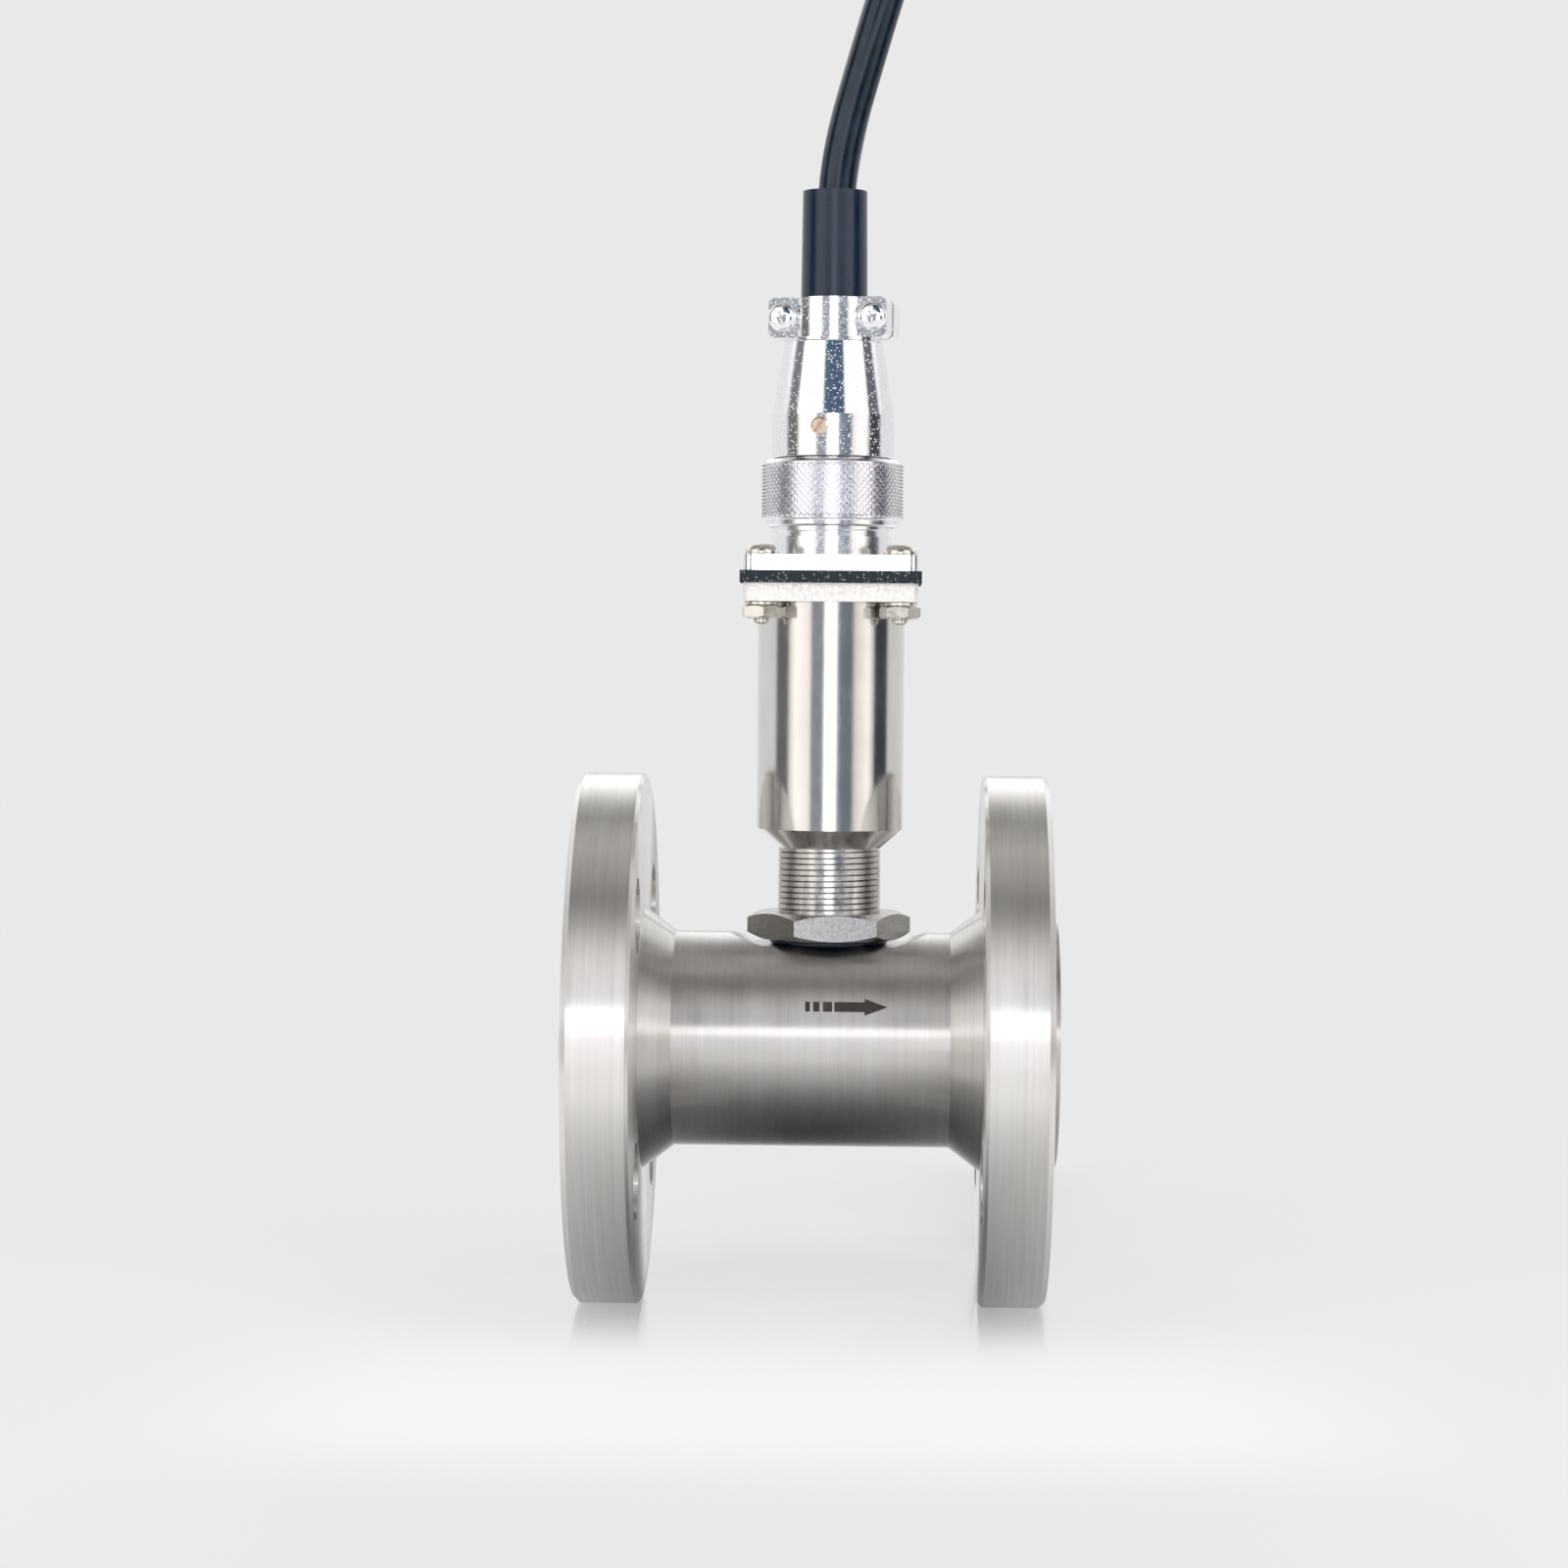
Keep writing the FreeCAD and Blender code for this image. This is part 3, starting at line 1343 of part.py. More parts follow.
make_square_plate(
    "mounting_plate",
    above("sensor_housing", "sizes.stub_length + sizes.cone_length + sizes.housing_length"),
    "sizes.plate_side",
    "sizes.plate_height",
    "sizes.plate_hole_diameter",
)
make_square_plate(
    "flange_gasket",
    above("mounting_plate", "sizes.plate_height"),
    "sizes.gasket_side",
    "sizes.gasket_height",
    "sizes.plate_hole_diameter",
)
make_socket_shell()
make_plate_fasteners()
make_socket_insert()
make_socket_pins()
make_board()

make_plug_shell()
make_coupling_ring()
make_plug_insert()
make_backshell()
make_cable_clamp()
make_cable_boot()
make_cable()
make_hank()
make_lead_ends()

doc.recompute()

for item in doc.Objects:
    if "Invalid" in item.State or "Error" in item.State:
        raise ValueError(f"{item.Label} failed: {item.getStatusString()}")
for node in nodes:
    if node.Shape.isNull() or not node.Shape.isValid():
        raise ValueError(f"{node.Label} has no valid shape")

os.makedirs("parts", exist_ok=True)
for node in nodes:
    node.Shape.exportStep(f"parts/{node.Label}.step")
print(f"{len(nodes)} parts written")
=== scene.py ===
"""Turbine flow meter: finishes, threads, knurling, fasteners, signal cable and studio."""

import json
import math

import bmesh
import bpy
from bpy.props import FloatProperty, FloatVectorProperty, IntProperty, PointerProperty
from mathutils import Matrix, Vector


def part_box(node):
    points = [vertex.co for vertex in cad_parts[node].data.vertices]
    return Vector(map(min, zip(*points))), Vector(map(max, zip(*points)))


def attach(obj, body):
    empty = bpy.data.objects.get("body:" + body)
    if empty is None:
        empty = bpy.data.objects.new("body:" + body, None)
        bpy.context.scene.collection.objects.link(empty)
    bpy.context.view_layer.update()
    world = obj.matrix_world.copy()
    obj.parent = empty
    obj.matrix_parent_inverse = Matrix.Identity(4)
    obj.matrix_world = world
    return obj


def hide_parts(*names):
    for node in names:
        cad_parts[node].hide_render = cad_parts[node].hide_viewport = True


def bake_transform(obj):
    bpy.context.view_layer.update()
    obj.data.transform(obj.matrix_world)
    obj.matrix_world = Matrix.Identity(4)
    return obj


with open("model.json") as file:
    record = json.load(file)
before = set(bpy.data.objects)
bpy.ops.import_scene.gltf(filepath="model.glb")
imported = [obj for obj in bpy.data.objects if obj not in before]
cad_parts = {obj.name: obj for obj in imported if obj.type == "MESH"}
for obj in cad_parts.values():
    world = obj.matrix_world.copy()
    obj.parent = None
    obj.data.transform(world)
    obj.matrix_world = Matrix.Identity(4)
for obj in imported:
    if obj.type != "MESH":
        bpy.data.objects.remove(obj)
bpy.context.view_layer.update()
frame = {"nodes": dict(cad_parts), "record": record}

bl_info = {
    "name": "Turbine Flow Meter",
    "version": (1, 0, 0),
    "blender": (4, 5, 0),
    "location": "View3D > Sidebar > Flow Meter",
    "description": "Finishes, threads, knurling, cable and studio of a flanged turbine flow meter",
    "category": "Object",
}

NODES = frame["nodes"]
SLOTS = {part["node"]: part["material_slot"] for part in frame["record"]["subparts"]}
HOUSING_LOW, HOUSING_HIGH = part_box("sensor_housing")
STACK = Vector(((HOUSING_LOW.x + HOUSING_HIGH.x) / 2, 0.0, 0.0))
FLOOR_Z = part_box("inlet_flange")[0].z
FULL_TURN = 2 * math.pi
HANK_LENGTH = 0.120
HANK_START = (0.0314, 0.0516)
HANK_TURN = math.radians(-1.9)

# The cable leaves the boot upwards, arches over to the back and comes down to the hank.
CABLE_ROUTE = [
    (0.0028, 0.0, 0.128),
    (0.0028, 0.0, 0.143),
    (0.0034, 0.0, 0.158),
    (0.0090, 0.0, 0.178),
    (0.0154, 0.0015, 0.1995),
    (0.0186, 0.0115, 0.2185),
    (0.0202, 0.030, 0.230),
    (0.0196, 0.0515, 0.230),
    (0.0166, 0.070, 0.219),
    (0.0120, 0.080, 0.2005),
    (0.0057, 0.0815, 0.1805),
    (0.0018, 0.0815, 0.160),
    (0.0014, 0.0815, 0.131),
    (0.0015, 0.0815, 0.101),
    (0.0015, 0.0820, 0.0740),
    (0.0012, 0.0826, 0.0500),
    (0.0010, 0.0861, 0.0291),
    (0.0054, 0.0950, 0.0132),
    (0.0133, 0.1054, 0.0037),
    (0.0246, 0.1192, -0.0001),
    (0.0343, 0.1339, 0.0000),
]


# Sizes and colours

class FlowMeterSizes(bpy.types.PropertyGroup):
    """Sizes of the fine parts that are laid over the solid model"""

    stub_pitch: FloatProperty(
        name="Housing thread pitch", description="Rise of the housing's thread in one turn",
        default=0.00102, unit="LENGTH", precision=5,
    )
    stub_crest: FloatProperty(
        name="Housing thread diameter", description="Outside diameter of the housing's thread",
        default=0.0184, unit="LENGTH", precision=5,
    )
    neck_pitch: FloatProperty(
        name="Socket thread pitch", description="Rise of the socket's thread in one turn",
        default=0.00127, unit="LENGTH", precision=5,
    )
    neck_crest: FloatProperty(
        name="Socket thread diameter", description="Outside diameter of the socket's thread",
        default=0.0213, unit="LENGTH", precision=5,
    )
    knurl_columns: IntProperty(
        name="Knurl columns", description="Diamonds around the coupling ring", default=69,
    )
    knurl_rows: IntProperty(
        name="Knurl rows", description="Diamonds along the coupling ring", default=8,
    )
    knurl_depth: FloatProperty(
        name="Knurl depth", description="Height of the knurl's tops above its grooves",
        default=0.00036, unit="LENGTH", precision=5,
    )
    cable_diameter: FloatProperty(
        name="Cable diameter", description="Outside diameter of the signal cable",
        default=0.0067, unit="LENGTH", precision=4,
    )
    hank_radius: FloatProperty(
        name="Hank radius", description="Radius of the hank's end loops, to the cable's middle",
        default=0.0212, unit="LENGTH", precision=4,
    )
    arrow_length: FloatProperty(
        name="Arrow length", description="Length of the etched flow arrow with its bars",
        default=0.0144, unit="LENGTH", precision=4,
    )
    etching_rise: FloatProperty(
        name="Etching rise", description="Height of the etched film over the pipe",
        default=0.00003, unit="LENGTH", precision=6,
    )


class FlowMeterColours(bpy.types.PropertyGroup):
    """Base colours of the meter's finishes"""

    steel: FloatVectorProperty(
        name="Turned steel", description="Pipe and flanges", subtype="COLOR", size=3,
        default=(0.705, 0.690, 0.670),
    )
    bright_steel: FloatVectorProperty(
        name="Bright steel", description="Housing, nut and guides", subtype="COLOR", size=3,
        default=(0.680, 0.665, 0.650),
    )
    plating: FloatVectorProperty(
        name="Plating", description="Plug, ring, clamp and socket", subtype="COLOR", size=3,
        default=(0.900, 0.895, 0.925),
    )
    cast_plate: FloatVectorProperty(
        name="Blasted plate", description="Square plate on the housing", subtype="COLOR", size=3,
        default=(0.760, 0.735, 0.710),
    )
    nickel: FloatVectorProperty(
        name="Nickel", description="Small screws, nuts and washers", subtype="COLOR", size=3,
        default=(0.700, 0.670, 0.600),
    )
    brass: FloatVectorProperty(
        name="Brass", description="Set screw and contacts", subtype="COLOR", size=3,
        default=(0.800, 0.660, 0.530),
    )
    rubber: FloatVectorProperty(
        name="Boot rubber", description="Cable boot and seal", subtype="COLOR", size=3,
        default=(0.0025, 0.0100, 0.0240),
    )
    gasket: FloatVectorProperty(
        name="Gasket", description="Flat gasket between the squares", subtype="COLOR", size=3,
        default=(0.014, 0.021, 0.026),
    )
    jacket: FloatVectorProperty(
        name="Cable jacket", description="Jacket of the signal cable", subtype="COLOR", size=3,
        default=(0.0025, 0.0085, 0.0175),
    )
    etching: FloatVectorProperty(
        name="Etching", description="Etched flow arrow", subtype="COLOR", size=3,
        default=(0.018, 0.012, 0.012),
    )


class FlowMeterStudio(bpy.types.PropertyGroup):
    """Floor, backdrop and camera"""

    backdrop: FloatProperty(
        name="Backdrop", description="Grey level of the backdrop", default=0.815, min=0.0, max=1.0,
    )
    floor_radius: FloatProperty(
        name="Floor radius", description="Radius of the round floor", default=6.0, unit="LENGTH",
    )
    focal_length: FloatProperty(
        name="Focal length", description="Focal length in millimetres", default=88.32,
    )
    camera_place: FloatVectorProperty(
        name="Camera place", description="Where the camera stands", subtype="TRANSLATION",
        size=3, unit="LENGTH", default=(0.0122, -0.6893, 0.0687),
    )
    camera_yaw: FloatProperty(
        name="Camera yaw", description="Turn to the right of straight ahead", subtype="ANGLE",
        default=-0.0256,
    )
    camera_pitch: FloatProperty(
        name="Camera pitch", description="Tilt down from the horizontal", subtype="ANGLE",
        default=0.0333,
    )
    camera_roll: FloatProperty(
        name="Camera roll", description="Turn about the line of sight", subtype="ANGLE",
        default=0.0085,
    )


def sizes():
    return bpy.context.scene.flow_meter_sizes


def colours():
    return bpy.context.scene.flow_meter_colours


def studio():
    return bpy.context.scene.flow_meter_studio


# Finishes

class Nodes:
    """A node tree, with short ways to add nodes and to feed them."""

    def __init__(self, tree):
        self.tree = tree

    def node(self, kind, **settings):
        made = self.tree.nodes.new(kind)
        for key, value in settings.items():
            setattr(made, key, value)
        return made

    def feed(self, socket, value):
        """Links a node's output to a socket, or sets the socket to a number, vector or colour."""
        if isinstance(value, bpy.types.NodeSocket):
            self.tree.links.new(value, socket)
        elif socket.type == "RGBA":
            socket.default_value = (*value, 1.0)
        else:
            socket.default_value = value

    def math(self, operation, *values, kind="ShaderNodeMath"):
        made = self.node(kind, operation=operation)
        for socket, value in zip(made.inputs, values):
            self.feed(socket, value)
        return made.outputs[0]

    def vector(self, operation, *values):
        return self.math(operation, *values, kind="ShaderNodeVectorMath")

    def length(self, value):
        made = self.node("ShaderNodeVectorMath", operation="LENGTH")
        self.feed(made.inputs[0], value)
        return made.outputs["Value"]

    def coordinates(self, kind="Object"):
        return self.node("ShaderNodeTexCoord").outputs[kind]

    def split(self, value):
        made = self.node("ShaderNodeSeparateXYZ")
        self.feed(made.inputs[0], value)
        return made.outputs

    def fade(self, value, limits, levels=(0.0, 1.0)):
        """Eases from one level to the other between two limits."""
        made = self.node("ShaderNodeMapRange", interpolation_type="SMOOTHSTEP")
        for socket, number in zip(("From Min", "From Max", "To Min", "To Max"), (*limits, *levels)):
            made.inputs[socket].default_value = number
        self.feed(made.inputs["Value"], value)
        return made.outputs["Result"]

    def ramp(self, value, stops):
        """Shades along a value, from pairs of a position and a grey or a colour."""
        made = self.node("ShaderNodeValToRGB")
        elements = made.color_ramp.elements
        while len(elements) < len(stops):
            elements.new(0.5)
        for element, (position, shade) in zip(elements, stops):
            element.position = position
            element.color = (*shade, 1.0) if isinstance(shade, tuple) else (shade, shade, shade, 1.0)
        self.feed(made.inputs["Fac"], value)
        return made.outputs["Color"]

    def blend(self, share, first, second, way="MIX"):
        """Mix of two colours."""
        made = self.node("ShaderNodeMix", data_type="RGBA", blend_type=way)
        self.feed(made.inputs["Factor"], share)
        self.feed(made.inputs[6], first)
        self.feed(made.inputs[7], second)
        return made.outputs[2]

    def shader(self, kind, colour):
        made = self.node(kind)
        self.feed(made.inputs["Color"], colour)
        return made.outputs[0]

    def mix(self, share, first, second):
        """Mix of two shaders."""
        made = self.node("ShaderNodeMixShader")
        for socket, value in zip(made.inputs, (share, first, second)):
            self.feed(socket, value)
        return made.outputs[0]


class Finish(Nodes):
    """A new material with its shader, and short ways to add procedural detail to it."""

    def __init__(self, name, colour, metallic, roughness, specular=None):
        self.material = bpy.data.materials.new(name)
        self.material.use_nodes = True
        super().__init__(self.material.node_tree)
        self.shader_node = self.tree.nodes["Principled BSDF"]
        self.colour = tuple(colour)
        self.relief = None
        self.set("Base Color", self.colour)
        self.set("Metallic", metallic)
        self.set("Roughness", roughness)
        if specular is not None:
            self.set("Specular IOR Level", specular)

    def set(self, socket, value):
        self.feed(self.shader_node.inputs[socket], value)

    def place(self, stretch=(1, 1, 1), origin=(0, 0, 0)):
        """Object coordinates, moved to an origin and then stretched."""
        return self.vector("MULTIPLY", self.vector("SUBTRACT", self.coordinates(), origin), stretch)

    def turned(self, axis, origin, lines):
        """Coordinates in which tool marks run around an axis: fine along it and outwards."""
        places = self.split(self.place(origin=origin))
        across = [places[i] for i in range(3) if i != axis]
        squares = [self.math("POWER", value, 2.0) for value in across]
        radius = self.math("SQRT", self.math("ADD", *squares))
        side = self.math("DIVIDE", across[0], self.math("MAXIMUM", radius, 0.0001))
        joined = self.node("ShaderNodeCombineXYZ")
        shares = ((places[axis], lines), (radius, lines), (side, 2.5))
        for socket, (value, share) in zip(joined.inputs, shares):
            self.feed(socket, self.math("MULTIPLY", value, share))
        return joined.outputs[0]

    def noise(self, where, scale=1.0, detail=2.0, roughness=0.5):
        made = self.node("ShaderNodeTexNoise")
        made.inputs["Scale"].default_value = scale
        made.inputs["Detail"].default_value = detail
        made.inputs["Roughness"].default_value = roughness
        self.feed(made.inputs["Vector"], where)
        return made.outputs["Fac"]

    def spots(self, scale):
        """Distance from the nearest of many scattered points."""
        made = self.node("ShaderNodeTexVoronoi")
        made.inputs["Scale"].default_value = scale
        self.feed(made.inputs["Vector"], self.place())
        return made.outputs["Distance"]

    def tint(self, value, low, high, spread=0.2):
        """Colour that runs from a darker to a lighter share of the finish's own colour."""
        shades = [tuple(min(1.0, channel * share) for channel in self.colour) for share in (low, high)]
        self.set("Base Color", self.ramp(value, [(0.5 - spread, shades[0]), (0.5 + spread, shades[1])]))

    def gloss(self, value, low, high, spread=0.2):
        """Roughness between two limits."""
        self.set("Roughness", self.ramp(value, [(0.5 - spread, low), (0.5 + spread, high)]))

    def bump(self, height, depth, strength=1.0):
        made = self.node("ShaderNodeBump")
        made.inputs["Strength"].default_value = strength
        made.inputs["Distance"].default_value = depth
        self.feed(made.inputs["Height"], height)
        if self.relief is not None:
            self.feed(made.inputs["Normal"], self.relief)
        self.relief = made.outputs["Normal"]
        self.set("Normal", self.relief)

    def grain_direction(self, axis, amount):
        """Anisotropic gloss that spreads across the tool marks around an axis."""
        made = self.node("ShaderNodeTangent", direction_type="RADIAL", axis="XYZ"[axis])
        self.set("Tangent", made.outputs["Tangent"])
        self.set("Anisotropic", amount)
        self.set("Anisotropic Rotation", 0.25)


def grained(name, colour, metallic, roughness, grain, shades, gloss, relief=None, specular=None):
    """Finish with one even grain, given as (scale, detail, roughness), and its limits of shade and gloss."""
    finish = Finish(name, colour, metallic, roughness, specular)
    speckle = finish.noise(finish.place(), *grain)
    finish.tint(speckle, *shades)
    finish.gloss(speckle, *gloss)
    if relief:
        finish.bump(speckle, *relief)
    return finish.material


def turned_steel():
    """Pipe and flanges: turning marks around the bore; painted light makes the flange rims brighter than the
    shaded pipe.
    """
    finish = Finish("turned_steel", colours().steel, 1.0, 0.34)
    bore = (0, 0, 0)
    fine = finish.noise(finish.turned(0, bore, 1800), 1.0, 3.0, 0.65)
    broad = finish.noise(finish.turned(0, bore, 240), 1.0, 3.0, 0.6)
    marks = finish.math("ADD", finish.math("MULTIPLY", fine, 0.5), finish.math("MULTIPLY", broad, 0.5))
    warm, cool = (
        tuple(channel * share for channel, share in zip(finish.colour, shares))
        for shares in ((0.915, 0.896, 0.884), (1.071, 1.075, 1.082))
    )
    # Painted light: the rims are painted up to a fifth brighter by their radius, standing in for the shade
    # on the pipe between the flanges.
    radius = finish.split(finish.turned(0, bore, 20))[1]
    painted_rim_light = finish.ramp(radius, [(0.50, 1.0), (0.80, 1.2)])
    shades = finish.ramp(marks, [(0.38, warm), (0.62, cool)])
    finish.set("Base Color", finish.blend(1.0, shades, painted_rim_light, "MULTIPLY"))
    finish.gloss(broad, 0.30, 0.38)
    finish.bump(fine, 0.000005, 0.3)
    finish.grain_direction(0, 1.0)
    return finish.material


def bright_steel():
    """Housing: polished on the lathe and lightly scratched."""
    finish = Finish("bright_steel", colours().bright_steel, 1.0, 0.16)
    marks = finish.noise(finish.turned(2, STACK, 2200), 1.0, 2.0, 0.6)
    wear = finish.noise(finish.place(), 90, 5.0, 0.6)
    scratches = finish.noise(finish.place((2600, 2600, 420)), 1.0, 2.0, 0.5)
    finish.tint(wear, 0.93, 1.05)
    finish.gloss(finish.math("MULTIPLY", wear, scratches), 0.12, 0.26, 0.3)
    finish.bump(marks, 0.000004, 0.35)
    finish.bump(scratches, 0.000003, 0.3)
    return finish.material


def thread_steel():
    """Housing's thread: bright and evenly worn."""
    colour = colours().bright_steel
    return grained("thread_steel", colour, 1.0, 0.20, (700, 3.0, 0.6), (0.92, 1.15), (0.14, 0.28))


def nut_steel():
    """Nut flats: lightly speckled by the mill."""
    colour = tuple(channel * 0.70 for channel in colours().bright_steel)
    return grained(
        "nut_steel", colour, 1.0, 0.22, (1500, 3.0, 0.7), (0.86, 1.10), (0.16, 0.30), (0.00001, 0.35))


def bright_plating():
    """Glossy plating over a cast part: fine sparkle and soft waviness."""
    finish = Finish("bright_plating", colours().plating, 1.0, 0.13)
    sparkle = finish.noise(finish.place(), 2300, 2.0, 0.7)
    waves = finish.noise(finish.place(), 260, 2.0, 0.5)
    finish.tint(sparkle, 0.92, 1.06)
    finish.gloss(sparkle, 0.06, 0.15)
    finish.bump(finish.ramp(finish.spots(1900), [(0.0, 0.0), (0.27, 1.0)]), 0.00006, 0.9)
    finish.bump(waves, 0.00003, 0.25)
    return finish.material


def satin_plating():
    """Knurled ring and socket: satin with a faint even grain."""
    colour = colours().plating
    return grained(
        "satin_plating", colour, 1.0, 0.20, (1600, 3.0, 0.6), (0.90, 1.04), (0.14, 0.26), (0.00001, 0.2))


def blasted_plate():
    """Sand-cast square plate: pale, rough and speckled."""
    colour = colours().cast_plate
    return grained(
        "blasted_plate", colour, 0.55, 0.52, (1500, 4.0, 0.75), (0.72, 1.25), (0.40, 0.62), (0.00008, 0.8))


def nickel_plating():
    """Small screws, nuts and washers: bright with a little uneven wear."""
    colour = colours().nickel
    return grained(
        "nickel_plating", colour, 1.0, 0.28, (520, 3.0, 0.5), (0.90, 1.06), (0.22, 0.36), (0.00001, 0.2))


def bare_brass():
    """Set screw and contacts: turned brass with a little wear."""
    colour = colours().brass
    return grained(
        "bare_brass", colour, 1.0, 0.28, (1300, 3.0, 0.6), (0.88, 1.08), (0.18, 0.34), (0.00001, 0.3))


def boot_rubber():
    """Soft rubber with a moulded bloom."""
    finish = Finish("boot_rubber", colours().rubber, 0.0, 0.24, 0.42)
    bloom = finish.noise(finish.place(), 160, 4.0, 0.6)
    finish.tint(bloom, 0.75, 1.35)
    finish.gloss(bloom, 0.15, 0.24)
    finish.bump(finish.noise(finish.place(), 2600, 2.0, 0.6), 0.00002, 0.3)
    return finish.material


def gasket_rubber():
    """Dark fibre gasket with pale grains in its cut edge."""
    finish = Finish("gasket_rubber", colours().gasket, 0.0, 0.80, 0.25)
    pale = (0.17, 0.18, 0.18)
    finish.set("Base Color", finish.ramp(finish.spots(1500), [(0.14, pale), (0.34, finish.colour)]))
    finish.bump(finish.noise(finish.place(), 1200, 3.0, 0.7), 0.0001, 0.7)
    return finish.material


def cable_jacket():
    """Glossy extruded jacket with a faint unevenness."""
    colour = colours().jacket
    return grained(
        "cable_jacket", colour, 0.0, 0.13, (420, 3.0, 0.5), (0.6, 1.6), (0.10, 0.18), (0.00004, 0.25), 0.34)


def enamelled_copper():
    """Winding: close rings of enamelled wire."""
    finish = Finish("enamelled_copper", (0.58, 0.24, 0.10), 0.9, 0.3)
    rings = finish.node("ShaderNodeTexWave", wave_type="BANDS", bands_direction="Z")
    rings.inputs["Scale"].default_value = 1100
    finish.feed(rings.inputs["Vector"], finish.place())
    finish.tint(rings.outputs["Fac"], 0.55, 1.15, 0.4)
    finish.bump(rings.outputs["Fac"], 0.0001, 0.8)
    return finish.material


def etched_film():
    """Laser etching: dark with a worn, uneven burn."""
    finish = Finish("etched_film", colours().etching, 0.0, 0.55)
    burn = finish.noise(finish.turned(0, (0, 0, 0), 2200), 1.0, 3.0, 0.7)
    finish.tint(burn, 0.6, 1.9)
    finish.gloss(burn, 0.42, 0.68)
    return finish.material


def moulded(name, colour, roughness):
    """Moulded insulator or ceramic with a fine even grain."""
    gloss = (roughness - 0.08, roughness + 0.1)
    return grained(name, colour, 0.0, roughness, (1100, 3.0, 0.6), (0.82, 1.2), gloss, (0.00002, 0.4))


def dark_metal(name, colour, roughness):
    """Magnet, iron, rotor steel and copper strands."""
    gloss = (roughness - 0.08, roughness + 0.1)
    return grained(name, colour, 1.0, roughness, (1300, 3.0, 0.6), (0.82, 1.14), gloss, (0.00002, 0.4))


def floor_paint():
    """Pale board: the backdrop's tone with a painted pool of light in front, a soft sheen near by, and a
    painted shadow under the meter for gloss.
    """
    material = bpy.data.materials.new("floor_paint")
    material.use_nodes = True
    nodes = Nodes(material.node_tree)
    nodes.tree.nodes.clear()
    places = nodes.coordinates()
    aside, forward = nodes.split(places)[:2]
    distance = nodes.length(places)

    # Painted light: the floor's glow is a little lighter in a patch in front of the meter.
    lit = nodes.math(
        "MULTIPLY", nodes.fade(forward, (-0.01, -0.10), (0.0, 0.10)),
        nodes.fade(forward, (-0.11, -0.17), (1.0, -0.3)))
    lit = nodes.math("MULTIPLY", lit, nodes.fade(nodes.math("ABSOLUTE", aside), (0.055, 0.115), (1.0, 0.0)))
    glow = nodes.shader("ShaderNodeEmission", nodes.math("ADD", studio().backdrop, lit))
    paint = nodes.shader("ShaderNodeBsdfDiffuse", (0.575, 0.575, 0.575))
    shaded = nodes.mix(nodes.fade(distance, (0.10, 0.60), (0.78, 1.0)), paint, glow)
    shine = nodes.math(
        "MULTIPLY", nodes.fade(nodes.math("ABSOLUTE", forward), (0.0, 0.065), (0.62, 0.0)),
        nodes.fade(distance, (0.05, 0.11), (1.0, 0.0)))
    sheen = nodes.shader("ShaderNodeBsdfAnisotropic", (0.95, 0.95, 0.95))
    sheen.node.inputs["Roughness"].default_value = 0.14
    seen = nodes.mix(shine, shaded, sheen)

    # What gloss meets: a painted shadow, a floor glow that is dark under the meter and opens to the room far
    # away.
    reach = nodes.length(nodes.vector("MULTIPLY", places, (1.6, 1.0, 0.0)))
    shadow_greys = ((0.0, 0.03), (0.03, 0.11), (0.06, 0.36), (0.09, 0.60), (0.12, 0.74), (0.18, 1.0), (0.40, 0.98))
    painted_shadow_glow = nodes.shader("ShaderNodeEmission", nodes.ramp(reach, shadow_greys))
    beyond = nodes.node("ShaderNodeBsdfTransparent").outputs[0]
    met = nodes.mix(nodes.fade(distance, (0.38, 0.60)), painted_shadow_glow, beyond)
    in_gloss = nodes.node("ShaderNodeLightPath").outputs["Is Glossy Ray"]
    output = nodes.node("ShaderNodeOutputMaterial")
    nodes.feed(output.inputs["Surface"], nodes.mix(in_gloss, seen, met))
    return material


MAKERS = {maker.__name__: maker for maker in (
    turned_steel, bright_steel, thread_steel, nut_steel, bright_plating, satin_plating,
    blasted_plate, nickel_plating, bare_brass, boot_rubber, gasket_rubber, cable_jacket,
    enamelled_copper, etched_film, floor_paint,
)}
MOULDINGS = {
    "black_insulator": ((0.02, 0.02, 0.024), 0.45),
    "ceramic": ((0.06, 0.06, 0.065), 0.3),
    "circuit_board": ((0.015, 0.12, 0.05), 0.4),
    "tie_nylon": ((0.02, 0.02, 0.022), 0.5),
    "red_insulation": ((0.42, 0.02, 0.015), 0.35),
    "white_insulation": ((0.62, 0.61, 0.58), 0.35),
    "blue_insulation": ((0.02, 0.06, 0.26), 0.35),
}
DARK_METALS = {
    "magnet_metal": ((0.22, 0.22, 0.23), 0.4),
    "soft_iron": ((0.33, 0.32, 0.31), 0.4),
    "rotor_steel": ((0.52, 0.51, 0.49), 0.28),
    "copper_strand": ((0.72, 0.36, 0.20), 0.3),
}


def finish_of(name):
    """The finish of that name, made when it is first needed."""
    if name in bpy.data.materials:
        return bpy.data.materials[name]
    if name in MOULDINGS:
        return moulded(name, *MOULDINGS[name])
    if name in DARK_METALS:
        return dark_metal(name, *DARK_METALS[name])
    return MAKERS[name]()


def dress(obj, *finishes):
    """Gives an object its finishes, one to a slot."""
    if obj.data.materials:
        obj.data.materials.clear()
    for name in finishes:
        obj.data.materials.append(finish_of(name))
    return obj


# Shapes

def polar(radius, angle, height=0.0):
    """Point at a radius, an angle about the vertical and a height."""
    return Vector((radius * math.cos(angle), radius * math.sin(angle), height))


